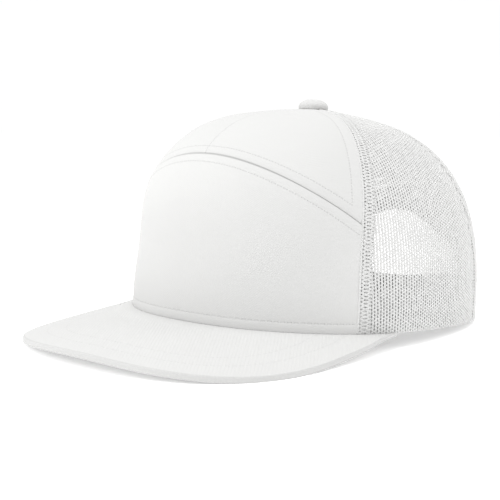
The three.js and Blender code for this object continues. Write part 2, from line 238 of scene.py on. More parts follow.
# Net beside the front panels, from its seam: the fold, the turned strip and the allowance inside,
# with the hem along the rim, and how finely or coarsely each of them is knitted
NET_EDGE_FOOT = 0.002
FOLD_LENGTHS = (-0.0003, 0.0010)
FOLD_DEPTH = -0.0002
FOLD_WALL = 0.0007
TURNED_LENGTHS = (0.0009, NET_CREASE + 0.0008)
TURNED_DEPTH = -0.00005
TURNED_KNIT = {"wale_pitch": 0.0030, "course_pitch": 0.0018, "hole_width": 0.75, "hole_height": 0.37,
               "thread": 0.0004}
ALLOWANCE_LENGTHS = (0.0002, 0.0060)
ALLOWANCE_DEPTH = 0.00085
ALLOWANCE_KNIT = {"wale_pitch": 0.0013, "course_pitch": 0.0017, "hole_width": 0.5, "hole_height": 0.6,
                  "thread": 0.0003}
HEM_ENDS = (61, 148)
HEM_HEIGHTS = (0.0003, 0.0075)
HEM_DEPTH = 0.00095
HEM_THREAD = 0.0004
STRIP_SHIFT = 0.0007

# The knitted net's tree: loops beyond the flat cut, the spread of the holes, and what it leaves out
NET_MARGIN_STEPS = 4
HOLE_SPREAD = (0.76, 1.14)
SLIVER_AREA = 2e-9
MERGE_WITHIN = 1e-7

# Painted shade in the arched seam: how far it reaches from the seam, how much wider it is at its
# crest, the plan angle where that ends, and how dark it is
SEAM_SHADE_REACH = 0.0005
SEAM_SHADE_CREST = 1.0
SEAM_SHADE_CREST_ENDS = 48
SEAM_SHADE = 0.3

# Share of that painted shade on the visor's edge and underside
VISOR_EDGE_SHADE = 0.4

# Tones of the cloth: that of its darker patches, and that of the painted shade in seams, beside the thread
# and in needle holes
PATCH_TONE = 0.965
SHADE_TONE = 0.1

# Stitches: from one to the next, half the gap between two as a share of that, how high their middle
# stands and how deep their ends go as shares of the thread, and how deep each row lies
STITCH_PITCH = 0.0032
STITCH_GAP = 0.2
STITCH_RISE = 0.4
STITCH_END_SUNK = 0.8
FRONT_ROW_SUNK = 0.00018
NET_SEAM_ROW_SUNK = 0.0005
NET_FRONT_ROW_SUNK = 0.0006
NET_RIM_ROW_SUNK = 0.0003
VISOR_ROW_SUNK = 0.00016
NET_ROW_FOOT = 0.01
BACK_ROW_CLEARANCE = 0.001
NET_RIM_ROW_ENDS = (61.5, 143)
NET_RIM_INSET = 0.8

# Painted shade and groove along a row: the distances from it, or from a stitch's end as shares of the pitch,
# at which the gap between two stitches, the stitch's end, the painted shade beside the thread, the painted
# shade in the needle hole and the groove fade
ROW_FADES = {
    "gap": (STITCH_GAP - 0.03, STITCH_GAP + 0.03),
    "end": (0.05, 0.10),
    "shade": (0.00018, 0.00036),
    "hole": (0.00014, 0.00036),
    "groove": (0.0001, 0.0007),
}

# Button: its size, its gathers under the edge, and the shank that goes into the crown
BUTTON_RADIUS = 0.008
BUTTON_HEIGHT = 0.0052
BUTTON_WIDEST = 0.00155
BUTTON_WIDEST_SHARE = 0.2
BUTTON_CLOTH = 0.0001
BUTTON_ROUNDNESS = 0.85
BUTTON_UNDERCUT = math.radians(12)
BUTTON_SUNK = 0.0006
BUTTON_GATHERS = ((11, 0, 1.0), (17, 1, 0.6), (29, 2, 0.4))
BUTTON_GATHER_DEPTH = 0.00015
SHANK_RADIUS = 0.0032
SHANK_LENGTH = 0.003

# Camera, turned round the middle of the cap: degrees, metres and its place across and up the view
CAMERA_AZIMUTH = 41.619
CAMERA_ELEVATION = 7.229
CAMERA_ROLL = 0.389
CAMERA_DISTANCE = 0.58746
CAMERA_ASIDE = -0.007823
CAMERA_UP = -0.011866
CAMERA_AIM = (0, -0.001, 0.0542)
CAMERA_LENS = 79.2
CAMERA_CLIP = (0.01, 50)
SENSOR_WIDTH = 36

# Colours
CLOTH_COLOUR = "#c6c6c5"
VISOR_COLOUR = "#c6c6c5"
NET_COLOUR = "#cacac9"
BAND_COLOUR = "#c4c4c3"
THREAD_COLOUR = "#cbcbca"
STRAP_COLOUR = "#cccccb"
FLOOR_COLOUR = "#fbfbfb"

# Area lights: their names, places and powers in watts, all of one size and aimed at the cap
LIGHTS = (
    ("Left Light", (-0.9, -1.4, 0.8), 10.6),
    ("Top Light", (0, -0.2, 1.9), 14.0),
    ("Right Back Light", (1.3, 1.0, 1.1), 6.0),
)
LIGHT_SIZE = 1.0
LIGHT_AIM = (0, 0, 0.05)
FLOOR_REACH = 4.0


# Shapes of the crown

def smoothstep(value, start, end):
    share = np.clip((value - start) / (end - start), 0, 1)
    return share * share * (3 - 2 * share)


def signed_power(value, exponent):
    return np.sign(value) * np.abs(value) ** exponent


def around(angle, values):
    """A value that changes round the crown from its front through its sides to its back."""
    front, side, back = values
    forward = np.cos(np.radians(angle))
    end = np.where(forward > 0, front, back)
    return side + (end - side) * forward ** 2


def rim_point(angle):
    """x and y of the rim's outer edge at a plan angle from the front, positive to the wearer's left."""
    forward = np.cos(np.radians(angle))
    sideways = np.sin(np.radians(angle))
    power = 2 / np.where(forward > 0, RIM_FRONT_SQUARENESS, RIM_BACK_SQUARENESS)
    reach = np.where(forward > 0, FRONT_REACH, BACK_REACH)
    return HALF_WIDTH * signed_power(sideways, power), -reach * signed_power(forward, power)


def climb_of(way):
    """The climb in radians at a way up the wall, 0 at the rim and 1 at the button's axis."""
    return np.radians(90 * np.clip(way, 0, 1) ** CLIMB_POWER)


def seam_angle(seam, way):
    rim, top = seam
    return rim + (top - rim) * np.degrees(climb_of(way)) / 90


def arch_height(angle):
    return ARCH_CREST - ARCH_FALL * (np.abs(angle) / FRONT_SEAM[0]) ** ARCH_BEND


def crown_face(angle, way):
    """A point of the crown's outer face in the rim's frame."""
    angle, way = np.broadcast_arrays(np.asarray(angle, float), np.asarray(way, float))
    power = 2 / around(angle, SQUARENESS)
    rise = np.sin(climb_of(way)) ** power
    height = CROWN_HEIGHT * rise
    from_front = np.abs((angle + 540) % 360 - 180)
    fade = 1 - smoothstep(from_front, DRAWN_IN_FULL, DRAWN_IN_GONE)
    drawn = DRAWN_IN_SHARE * np.sin(np.pi * np.minimum(height / DRAWN_IN_HEIGHT, 1)) ** 2 * fade
    lean = 1 - around(angle, LEAN) * rise - drawn
    spread = np.maximum(np.cos(climb_of(way)), 0) ** power * lean
    rim_x, rim_y = rim_point(angle)
    x = rim_x * spread
    y = (rim_y - TOP_BEHIND) * spread
    peak = PEAK_RISE * (1 - smoothstep(np.hypot(x, y), 0, PEAK_REACH))
    return np.stack([x, TOP_BEHIND + y, height + peak], -1)


def way_at(angle, height):
    """The way up the wall at which the face has a height."""
    rise = np.clip(height / CROWN_HEIGHT, 0, 1)
    climb = np.degrees(np.arcsin(rise ** (around(angle, SQUARENESS) / 2)))
    return (climb / 90) ** (1 / CLIMB_POWER)


def halved(low, high, below):
    """Where between two values a test stops to hold, found by halving the range."""
    for _ in range(HALVINGS):
        middle = (low + high) / 2
        holds = below(middle)
        low = np.where(holds, middle, low)
        high = np.where(holds, high, middle)
    return (low + high) / 2


def way_near_top(angle, distance):
    """The way up the wall at which the face is a distance from the button's axis."""
    def outside(way):
        point = crown_face(angle, way)
        return np.hypot(point[..., 0], point[..., 1] - TOP_BEHIND) > distance

    return halved(np.full(np.shape(angle), 0.6), np.ones(np.shape(angle)), outside)


def unit(vectors):
    return vectors / np.maximum(np.linalg.norm(vectors, axis=-1, keepdims=True), 1e-12)


def crown_outwards(angle, way):
    """The outward direction of the crown's face, in the rim's frame."""
    across = crown_face(angle + 0.3, way) - crown_face(angle - 0.3, way)
    up = crown_face(angle, np.minimum(way + 0.004, 1)) - crown_face(angle, np.maximum(way - 0.004, 0))
    return unit(np.cross(across, up))


def crown_wall(angle, way, depth):
    """The crown's face moved inwards by a depth, in the rim's frame."""
    return crown_face(angle, way) - crown_outwards(angle, way) * np.asarray(depth)[..., None]


def placed_on_table():
    """How far the rim's frame moves back and up when the cap is set down, from the button's place."""
    low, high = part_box("top_button")
    axis_y = TOP_BEHIND * math.cos(RIM_TILT)
    axis_y += (CROWN_HEIGHT + PEAK_RISE + BUTTON_WIDEST) * math.sin(RIM_TILT)
    share = 1 - (OPENING_HALF_WIDTH / HALF_WIDTH) ** RIM_BACK_SQUARENESS
    foot = BACK_REACH * share ** (1 / RIM_BACK_SQUARENESS) + BINDING_PROUD
    return (low.y + high.y) / 2 - axis_y, foot * math.sin(RIM_TILT)


SET_BACK, SET_UP = placed_on_table()


def on_table(points):
    """Points or directions from the rim's frame to the row's frame."""
    x, y, z = points[..., 0], points[..., 1], points[..., 2]
    cos, sin = math.cos(RIM_TILT), math.sin(RIM_TILT)
    return np.stack([x, y * cos + z * sin + SET_BACK, -y * sin + z * cos + SET_UP], -1)


def turned_to_table(directions):
    return on_table(directions) - on_table(np.zeros(3))


def gap_angle(angle, way, gap):
    """A distance along the face, as a plan angle."""
    step = crown_face(angle + 0.5, way) - crown_face(angle - 0.5, way)
    return gap / np.maximum(np.linalg.norm(step, axis=-1), 1e-6)


def crown_grid(near, far, low, high, columns, rows, gaps=(GAP, GAP)):
    """Angles and ways of a panel between two seams and two edges, for shares across and up."""
    across, up = np.asarray(columns), np.asarray(rows)

    def way_in(angle, share):
        return low(angle) + (high(angle) - low(angle)) * share

    def beside(seam, side, gap):
        angle = seam(np.zeros(len(up)))
        for _ in range(6):
            way = way_in(angle, up)
            middle = seam(way)
            angle = middle + side * gap_angle(middle, way, gap / 2)
        return angle

    start, end = beside(near, 1, gaps[0]), beside(far, -1, gaps[1])
    angle = start[:, None] + (end - start)[:, None] * across[None]
    return angle, way_in(angle, up[:, None])


def spaced(length, step, edge=(0, 0.15, 0.35, 0.65, 1.1)):
    """Shares from 0 to 1 along a length in millimetres, close together at both ends."""
    edge = np.array(edge)
    count = max(2, round((length - 2 * edge[-1]) / step))
    middle = np.linspace(edge[-1], length - edge[-1], count + 1)
    return np.unique(np.concatenate([edge, middle, length - edge])) / length


def run_length(points, axis):
    """Length run along one axis of a grid of points."""
    steps = np.linalg.norm(np.diff(points, axis=axis), axis=-1)
    first = np.zeros_like(np.take(steps, [0], axis=axis))
    return np.concatenate([first, np.cumsum(steps, axis=axis)], axis=axis)


def finely(points, step=FINE_STEP):
    """A path with its points a small step apart."""
    run = run_length(points, 0)
    fine = np.arange(0, run[-1], step)
    return np.stack([np.interp(fine, run, points[:, k]) for k in range(points.shape[1])], -1)


def beside_path(points, path, ends=False):
    """For each point its distance from a path, and how far along the path it is. Where the path's ends
    count, a point beyond them is far from it."""
    fine = finely(path)
    tree = kdtree.KDTree(len(fine))
    for index, place in enumerate(fine):
        tree.insert(place if len(place) == 3 else (*place, 0), index)
    tree.balance()
    flat = points.reshape(-1, points.shape[-1])
    if flat.shape[1] == 2:
        flat = np.concatenate([flat, np.zeros((len(flat), 1))], 1)
    found = [tree.find(place) for place in flat]
    distance = np.array([item[2] for item in found]).reshape(points.shape[:-1])
    index = np.array([item[1] for item in found]).reshape(points.shape[:-1])
    if ends:
        past = (index == 0) | (index == len(fine) - 1)
        distance = np.where(past & (distance > GUIDE_STEP), FAR, distance)
    return distance, index * FINE_STEP


def climbed(angle, way, length):
    """The way reached from another after a length up the wall, or down where it is negative."""
    ways = np.linspace(0, 1, 500)
    reached = []
    for one_angle, one_way, one_length in zip(*np.broadcast_arrays(angle, way, length)):
        run = run_length(crown_face(np.full(ways.shape, one_angle), ways), 0)
        start = np.interp(one_way, ways, run)
        reached.append(np.interp(start + one_length, run, ways))
    return np.array(reached)


# Meshes

def linked(name, mesh):
    """An object of a mesh, linked to the scene."""
    obj = bpy.data.objects.new(name, mesh)
    bpy.context.scene.collection.objects.link(obj)
    return obj


def new_object(name, vertices, faces=(), attributes=None, edges=()):
    """An object with smooth faces and named attributes of its points, given as lists or grids."""
    vertices = np.reshape(vertices, (-1, 3))
    mesh = bpy.data.meshes.new(name)
    mesh.from_pydata([tuple(v) for v in vertices], edges, [tuple(f) for f in faces])
    for key, values in (attributes or {}).items():
        kind, field = ("FLOAT_VECTOR", "vector") if values.size == vertices.size else ("FLOAT", "value")
        attribute = mesh.attributes.new(key, kind, "POINT")
        attribute.data.foreach_set(field, values.astype(np.float32).ravel())
    mesh.polygons.foreach_set("use_smooth", [True] * len(mesh.polygons))
    return linked(name, mesh)


def grid_faces(rows, columns, start=0):
    index = start + np.arange(rows * columns).reshape(rows, columns)
    return np.stack([index[:-1, :-1], index[:-1, 1:], index[1:, 1:], index[1:, :-1]], -1).reshape(-1, 4)


def outwards_checked(obj):
    """The object with its faces turned outwards, which is tested by the volume it holds."""
    mesh = obj.data
    mesh.calc_loop_triangles()
    corners = np.zeros(len(mesh.loop_triangles) * 3, np.int32)
    mesh.loop_triangles.foreach_get("vertices", corners)
    places = np.zeros(len(mesh.vertices) * 3)
    mesh.vertices.foreach_get("co", places)
    a, b, c = places.reshape(-1, 3)[corners.reshape(-1, 3)].transpose(1, 0, 2)
    if np.einsum("ij,ij->i", a, np.cross(b, c)).sum() < 0:
        mesh.flip_normals()
    return obj


def shell(name, outer, inner, attributes=None):
    """A closed wall between two grids of points of one size, with its faces turned outwards."""
    rows, columns = outer.shape[:2]
    count = rows * columns
    index = np.arange(count).reshape(rows, columns)
    border = np.concatenate([index[0, :-1], index[:-1, -1], index[-1, :0:-1], index[:0:-1, 0]])
    following = np.roll(border, -1)
    rim = np.stack([following, border, border + count, following + count], -1)
    faces = np.concatenate([grid_faces(rows, columns), grid_faces(rows, columns, count)[:, ::-1], rim])
    doubled = {key: np.stack([values, values]) for key, values in (attributes or {}).items()}
    return outwards_checked(new_object(name, np.stack([outer, inner]), faces, doubled))


def rolled(distance, radius):
    """How far an edge that is turned under drops, at a distance from it."""
    inside = np.clip(1 - distance / radius, 0, 1)
    return radius * (1 - np.sqrt(1 - inside ** 2))


def finished(obj, material, replaces=()):
    """The object with its material and its place in the row: it rides on the one body."""
    if material is not None:
        obj.data.materials.clear()
        obj.data.materials.append(material)
    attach(obj, "root")
    if replaces:
        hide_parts(*replaces)
    return obj


# Node trees

def add_node(tree, kind, inputs=(), **settings):
    """A node with its properties set and its inputs filled or linked, in their order or by name."""
    node = tree.nodes.new(kind)
    for name, value in settings.items():
        setattr(node, name, value)
    for key, value in inputs.items() if isinstance(inputs, dict) else enumerate(inputs):
        if isinstance(value, bpy.types.Node):
            value = next(output for output in value.outputs if output.enabled)
        if isinstance(value, bpy.types.NodeSocket):
            tree.links.new(value, node.inputs[key])
        else:
            node.inputs[key].default_value = value
    return node


def geometry_tree(name, sizes):
    """An empty geometry tree with a geometry input, named sizes and a material, and its input node."""
    tree = bpy.data.node_groups.new(name, "GeometryNodeTree")
    tree.interface.new_socket("Geometry", in_out="INPUT", socket_type="NodeSocketGeometry")
    tree.interface.new_socket("Geometry", in_out="OUTPUT", socket_type="NodeSocketGeometry")
    for size_name, default in sizes.items():
        socket = tree.interface.new_socket(size_name, in_out="INPUT", socket_type="NodeSocketFloat")
        socket.default_value = default
    tree.interface.new_socket("Material", in_out="INPUT", socket_type="NodeSocketMaterial")
    return tree, add_node(tree, "NodeGroupInput")


def end_tree(tree, source, geometry):
    """Realizes the instances, sets the material and ends the tree."""
    real = add_node(tree, "GeometryNodeRealizeInstances", [geometry])
    painted = add_node(tree, "GeometryNodeSetMaterial",
                       {"Geometry": real, "Material": source.outputs["Material"]})
    add_node(tree, "NodeGroupOutput", [painted])
    return tree


def evaluated(obj):
    """A new mesh of what an object's modifiers make of it."""
    bpy.context.view_layer.update()
    graph = bpy.context.evaluated_depsgraph_get()
    return bpy.data.meshes.new_from_object(obj.evaluated_get(graph), depsgraph=graph)


def through_tree(obj, tree, name, **values):
    """A plain mesh object of what a geometry tree makes of an object, which is then removed."""
    modifier = obj.modifiers.new(tree.name, "NODES")
    modifier.node_group = tree
    for item in tree.interface.items_tree:
        key = item.name.lower().replace(" ", "_")
        if item.in_out == "INPUT" and key in values:
            modifier[item.identifier] = values[key]
    mesh = evaluated(obj)
    mesh.name = name
    obj.modifiers.remove(modifier)
    source = obj.data
    bpy.data.objects.remove(obj)
    bpy.data.meshes.remove(source)
    if not mesh.polygons:
        raise RuntimeError(f"{tree.name} made nothing for {name}")
    return linked(name, mesh)


def net_tree():
    """Knitted net: a honeycomb laid on a panel's flat cut, opened by holes and sewn to its place."""
    tree, source = geometry_tree("Knitted net", {
        "Wale Pitch": 0.0019, "Course Pitch": 0.0021, "Hole Width": 0.45, "Hole Height": 0.74,
        "Thread": 0.0005, "Shift": 0.0, "Unevenness": 0.0001})
    add = partial(add_node, tree)
    given = source.outputs
    flat = given["Geometry"]
    box = add("GeometryNodeBoundBox", [flat])
    corners = [box.outputs["Max"], box.outputs["Min"]]
    size = add("ShaderNodeSeparateXYZ", [add("ShaderNodeVectorMath", corners, operation="SUBTRACT")])
    counts, spans = [], []
    for axis, pitch in (("X", given["Wale Pitch"]), ("Y", given["Course Pitch"])):
        fitting = add("ShaderNodeMath", [size.outputs[axis], pitch], operation="DIVIDE")
        whole = add("ShaderNodeMath", [fitting], operation="CEIL")
        steps = add("ShaderNodeMath", [whole, NET_MARGIN_STEPS], operation="ADD")
        spans.append(add("ShaderNodeMath", [steps, pitch], operation="MULTIPLY"))
        counts.append(add("ShaderNodeMath", [steps, 1], operation="ADD"))
    lattice = add("GeometryNodeMeshGrid",
                  {"Size X": spans[0], "Size Y": spans[1], "Vertices X": counts[0], "Vertices Y": counts[1]})

    # Every other wale is half a course higher, each loop is a little out of place, and the whole is centred
    place = add("ShaderNodeMath", [add("GeometryNodeInputIndex"), counts[1]], operation="DIVIDE")
    odd = add("ShaderNodeMath", [add("ShaderNodeMath", [place], operation="FLOOR"), 2], operation="MODULO")
    half_course = add("ShaderNodeMath", [given["Course Pitch"], 0.5], operation="MULTIPLY")
    half = add("ShaderNodeMath", [odd, half_course], operation="MULTIPLY")
    both_corners = add("ShaderNodeVectorMath", corners, operation="ADD")
    centre = add("ShaderNodeVectorMath", {0: both_corners, "Scale": 0.5}, operation="SCALE")
    shifted = add("ShaderNodeCombineXYZ", {"X": given["Shift"], "Y": half})
    strayed = add("FunctionNodeRandomValue", {0: (-1, -1, 0), 1: (1, 1, 0), "Seed": 3},
                  data_type="FLOAT_VECTOR")
    strayed = add("ShaderNodeVectorMath", {0: strayed, "Scale": given["Unevenness"]}, operation="SCALE")
    offset = add("ShaderNodeVectorMath", [centre, shifted], operation="ADD")
    offset = add("ShaderNodeVectorMath", [offset, strayed], operation="ADD")
    staggered = add("GeometryNodeSetPosition", {"Geometry": lattice, "Offset": offset})
    triangles = add("GeometryNodeTriangulate", [staggered], quad_method="SHORTEST_DIAGONAL")
    honeycomb = add("GeometryNodeDualMesh", [triangles])

    # A hole in each cell, as wide and high as a share of it
    opened = add("GeometryNodeExtrudeMesh", {"Mesh": honeycomb, "Offset Scale": 0.0, "Individual": True},
                 mode="FACES")
    top = opened.outputs["Top"]
    least, most = HOLE_SPREAD
    open_share = add("FunctionNodeRandomValue", {2: least, 3: most, "Seed": 5}, data_type="FLOAT")
    height = add("ShaderNodeMath", [given["Hole Height"], open_share], operation="MULTIPLY")
    tall = add("GeometryNodeScaleElements",
               {"Geometry": opened.outputs["Mesh"], "Selection": top, "Scale": height}, domain="FACE")
    ratio = add("ShaderNodeMath", [given["Hole Width"], given["Hole Height"]], operation="DIVIDE")
    narrow = add("GeometryNodeScaleElements",
                 {"Geometry": tall, "Selection": top, "Scale": ratio, "Axis": (1, 0, 0)},
                 domain="FACE", scale_mode="SINGLE_AXIS")
    rings = add("GeometryNodeDeleteGeometry", {"Geometry": narrow, "Selection": top},
                domain="FACE", mode="ONLY_FACE")

    # The net is trimmed to the flat cut and taken to its place on the crown, with its outward direction
    here = add("GeometryNodeInputPosition")
    sampled = {}
    for name in ("position", "place", "facing"):
        value = here
        if name != "position":
            value = add("GeometryNodeInputNamedAttribute", {"Name": name},
                        data_type="FLOAT_VECTOR").outputs[0]
        nearest = add("GeometryNodeSampleNearestSurface", {"Mesh": flat, "Value": value},
                      data_type="FLOAT_VECTOR")
        sampled[name] = nearest.outputs["Value"]
    trimmed = add("GeometryNodeSetPosition", {"Geometry": rings, "Position": sampled["position"]})
    sliver = add("FunctionNodeCompare", [add("GeometryNodeInputMeshFaceArea"), SLIVER_AREA],
                 data_type="FLOAT", operation="LESS_THAN")
    kept = add("GeometryNodeDeleteGeometry", {"Geometry": trimmed, "Selection": sliver}, domain="FACE")
    for name, value in (("cloth", here), ("outside", sampled["facing"])):
        kept = add("GeometryNodeStoreNamedAttribute", {"Geometry": kept, "Name": name, "Value": value},
                   data_type="FLOAT_VECTOR", domain="POINT")
    sewn = add("GeometryNodeSetPosition", {"Geometry": kept, "Position": sampled["place"]})

    # The thread's thickness, inwards, and the outer face again, which the extrusion moved
    outside = add("GeometryNodeInputNamedAttribute", {"Name": "outside"}, data_type="FLOAT_VECTOR")
    inward = add("ShaderNodeMath", [given["Thread"], -1], operation="MULTIPLY")
    thick = add("GeometryNodeExtrudeMesh",
                {"Mesh": sewn, "Offset": outside.outputs[0], "Offset Scale": inward, "Individual": False},
                mode="FACES")
    both = add("GeometryNodeJoinGeometry", [add("GeometryNodeFlipFaces", [thick.outputs["Mesh"]])])
    tree.links.new(sewn.outputs[0], both.inputs[0])
    closed = add("GeometryNodeMergeByDistance", {"Geometry": both, "Distance": MERGE_WITHIN})
    return end_tree(tree, source, add("GeometryNodeSetShadeSmooth", {"Geometry": closed}))


def stitch_tree():
    """A row of stitches: bent lengths of thread along each path, whose ends go into the cloth."""
    tree, source = geometry_tree("Row of stitches", {
        "Pitch": 0.0032, "Length": 0.0026, "Thread": 0.0004, "Rise": 0.00045})
    add = partial(add_node, tree)
    given = source.outputs
    path = add("GeometryNodeMeshToCurve", [given["Geometry"]])
    points = add("GeometryNodeResampleCurve", {"Curve": path, "Length": given["Pitch"]}, mode="LENGTH")
    half = add("ShaderNodeMath", [given["Length"], 0.5], operation="MULTIPLY")
    back = add("ShaderNodeMath", [half, -1], operation="MULTIPLY")
    sunk = add("ShaderNodeMath", [given["Thread"], -STITCH_END_SUNK], operation="MULTIPLY")
    start, end = (add("ShaderNodeCombineXYZ", {"X": place, "Z": sunk}) for place in (back, half))
    crest = add("ShaderNodeCombineXYZ", {"Z": given["Rise"]})
    bent = add("GeometryNodeCurveQuadraticBezier",
               {"Resolution": 6, "Start": start, "Middle": crest, "End": end})
    radius = add("ShaderNodeMath", [given["Thread"], 0.5], operation="MULTIPLY")
    section = add("GeometryNodeCurvePrimitiveCircle", {"Resolution": 6, "Radius": radius}, mode="RADIUS")
    one = add("GeometryNodeCurveToMesh",
              {"Curve": bent, "Profile Curve": section.outputs["Curve"], "Fill Caps": True})
    smooth = add("GeometryNodeSetShadeSmooth", {"Geometry": one})
    facing = add("GeometryNodeInputNamedAttribute", {"Name": "facing"}, data_type="FLOAT_VECTOR")
    turn = add("FunctionNodeAxesToRotation",
               {"Primary Axis": facing.outputs[0], "Secondary Axis": add("GeometryNodeInputTangent")},
               primary_axis="Z", secondary_axis="X")
    row = add("GeometryNodeInstanceOnPoints", {"Points": points, "Instance": smooth, "Rotation": turn})
    return end_tree(tree, source, row)


def stud_tree():
    """Round studs at points, each a flattened dome that faces outwards."""
    tree, source = geometry_tree("Strap studs", {"Radius": STUD_RADIUS, "Flatness": STUD_FLATNESS})
    add = partial(add_node, tree)
    ball = add("GeometryNodeMeshUVSphere", {"Segments": 20, "Rings": 10, "Radius": source.outputs["Radius"]})
    scale = add("ShaderNodeCombineXYZ", [1.0, 1.0, source.outputs["Flatness"]])
    smooth = add("GeometryNodeSetShadeSmooth", {"Geometry": ball})
    facing = add("GeometryNodeInputNamedAttribute", {"Name": "facing"}, data_type="FLOAT_VECTOR")
    turn = add("FunctionNodeAlignRotationToVector", {"Vector": facing.outputs[0]}, axis="Z")
    studs = add("GeometryNodeInstanceOnPoints",
                {"Points": source.outputs["Geometry"], "Instance": smooth, "Rotation": turn, "Scale": scale})
    return end_tree(tree, source, studs)


# Materials

def linear(text):
    """The linear colour of an sRGB hex value."""
    parts = [int(text[k:k + 2], 16) / 255 for k in (1, 3, 5)]
    parts = [c / 12.92 if c <= 0.04045 else ((c + 0.055) / 1.055) ** 2.4 for c in parts]
    return (*parts, 1)


def toned(colour, factor):
    """A linear colour made darker or lighter."""
    return (*[part * factor for part in colour[:3]], 1)


def new_material(name, roughness, sheen=0.0, specular=0.3):
    material = bpy.data.materials.new(name)
    material.use_nodes = True
    surface = material.node_tree.nodes["Principled BSDF"]
    for key, value in (("Roughness", roughness), ("Specular IOR Level", specular), ("Sheen Weight", sheen),
                       ("Sheen Roughness", 0.5)):
        surface.inputs[key].default_value = value
    return material, material.node_tree, surface


def grained(tree, surface, scale, detail, depth):
    """A fine grain over the surface, in the piece's own place."""
    place = add_node(tree, "ShaderNodeTexCoord")
    grain = add_node(tree, "ShaderNodeTexNoise",
                     {"Vector": place.outputs["Object"], "Scale": scale, "Detail": detail})
    bump = add_node(tree, "ShaderNodeBump", {"Height": grain.outputs["Fac"], "Distance": depth})
    tree.links.new(bump.outputs["Normal"], surface.inputs["Normal"])
    return grain.outputs["Fac"]


def woven_cloth(name, colour, rib_pitch, rib_turn, rib_depth, rows=0, shade=0.1, holes=0.28):
    """Polyester and cotton twill, piece-dyed white and pressed: matt, with fine diagonal ribs, painted shade
    along seams and edges, and along each row of stitches a slight groove, painted shade beside the thread and
    painted shade in small needle holes. The ribs are drawn coarser than a real twill's, so that they just
    show."""
    colour = toned(colour, 1)
    material, tree, surface = new_material(name, 0.85, sheen=0.04)
    add = partial(add_node, tree)
    cloth = add("ShaderNodeAttribute", attribute_name="cloth")
    turned = add("ShaderNodeMapping",
                 {"Vector": cloth.outputs["Vector"], "Rotation": (0, 0, math.radians(rib_turn))})
    ribs = add("ShaderNodeTexWave",
               {"Vector": turned, "Scale": math.pi / 10 / rib_pitch, "Distortion": 0.6, "Detail": 2,
                "Detail Scale": 2.5}, wave_type="BANDS", bands_direction="X", wave_profile="SIN")
    place = add("ShaderNodeTexCoord").outputs["Object"]
    fibres = add("ShaderNodeTexNoise", {"Vector": place, "Scale": 1800, "Detail": 3})
    patches = add("ShaderNodeTexNoise", {"Vector": place, "Scale": 28, "Detail": 2})
    relief = add("ShaderNodeMath", [fibres.outputs["Fac"], 0.5, ribs.outputs["Fac"]],
                 operation="MULTIPLY_ADD")
    weave = add("ShaderNodeBump", {"Height": relief, "Distance": rib_depth, "Strength": 1.0})
    normal = weave.outputs["Normal"]
    # Painted shade along the arched seam and on the visor's edge and underside, from the seam attribute
    painted_seam_shade = add("ShaderNodeAttribute", attribute_name="seam").outputs["Fac"]
    layers = [(patches.outputs["Fac"], PATCH_TONE),
              (add("ShaderNodeMath", [painted_seam_shade, SEAM_SHADE], operation="MULTIPLY"), SHADE_TONE)]
    if rows:
        # Painted shade beside the thread and in the needle holes, with the row's groove as a bump
        painted_row_shade, groove = row_marks(add, rows, shade, holes)
        pressed = add("ShaderNodeBump", {"Height": groove, "Distance": 0.0001, "Strength": 1.0,
                                         "Normal": normal}, invert=True)
        normal = pressed.outputs["Normal"]
        layers.insert(1, (painted_row_shade, SHADE_TONE))
    tinted = colour
    for factor, tone in layers:
        mix = add("ShaderNodeMix", {"Factor": factor, "A": tinted, "B": toned(colour, tone)},
                  data_type="RGBA")
        tinted = mix.outputs[2]
    tree.links.new(tinted, surface.inputs["Base Color"])
    tree.links.new(normal, surface.inputs["Normal"])
    return material


def row_marks(add, rows, shade, holes):
    """Masks of the painted shade beside the thread with the painted shade of needle holes at its ends, and
    of the groove along each row, from the piece's own distances to its rows and lengths along them."""
    beside, along = (add("ShaderNodeSeparateXYZ",
                         [add("ShaderNodeAttribute", attribute_name=name).outputs["Vector"]])
                     for name in ("row_beside", "row_along"))
    painted_row_shade, groove = 0.0, 0.0
    for axis in "XYZ"[:rows]:
        away = add("ShaderNodeMath", [beside.outputs[axis]], operation="ABSOLUTE")
        run = add("ShaderNodeMath", [along.outputs[axis], STITCH_PITCH], operation="DIVIDE")
        share = add("ShaderNodeMath", [run], operation="FRACT")
        off_gap = add("ShaderNodeMath", [share, 0.5], operation="SUBTRACT")
        from_gap = add("ShaderNodeMath", [off_gap], operation="ABSOLUTE")
        off_end = add("ShaderNodeMath", [from_gap, STITCH_GAP], operation="SUBTRACT")
        from_end = add("ShaderNodeMath", [off_end], operation="ABSOLUTE")
        near = {"gap": from_gap, "end": from_end, "shade": away, "hole": away, "groove": away}
        for name, (full, gone) in ROW_FADES.items():
            near[name] = add("ShaderNodeMapRange",
                             {"Value": near[name], "From Min": full, "From Max": gone, "To Min": 1,
                              "To Max": 0},
                             interpolation_type="SMOOTHSTEP")
        # Painted shade beside the thread, broken at the gaps between stitches
        dash = add("ShaderNodeMath", [1, near["gap"]], operation="SUBTRACT")
        dark = add("ShaderNodeMath", [near["shade"], dash], operation="MULTIPLY")
        dark = add("ShaderNodeMath", [dark, shade], operation="MULTIPLY")
        # Painted shade in the needle holes at the stitches' ends
        hole = add("ShaderNodeMath", [near["hole"], near["end"]], operation="MULTIPLY")
        hole = add("ShaderNodeMath", [hole, holes], operation="MULTIPLY")
        mark = add("ShaderNodeMath", [dark, hole], operation="MAXIMUM")
        painted_row_shade = add("ShaderNodeMath", [painted_row_shade, mark], operation="MAXIMUM")
        furrow = add("ShaderNodeMath", [near["groove"], dash], operation="MULTIPLY")
        groove = add("ShaderNodeMath", [groove, furrow], operation="MAXIMUM")
    return painted_row_shade, groove


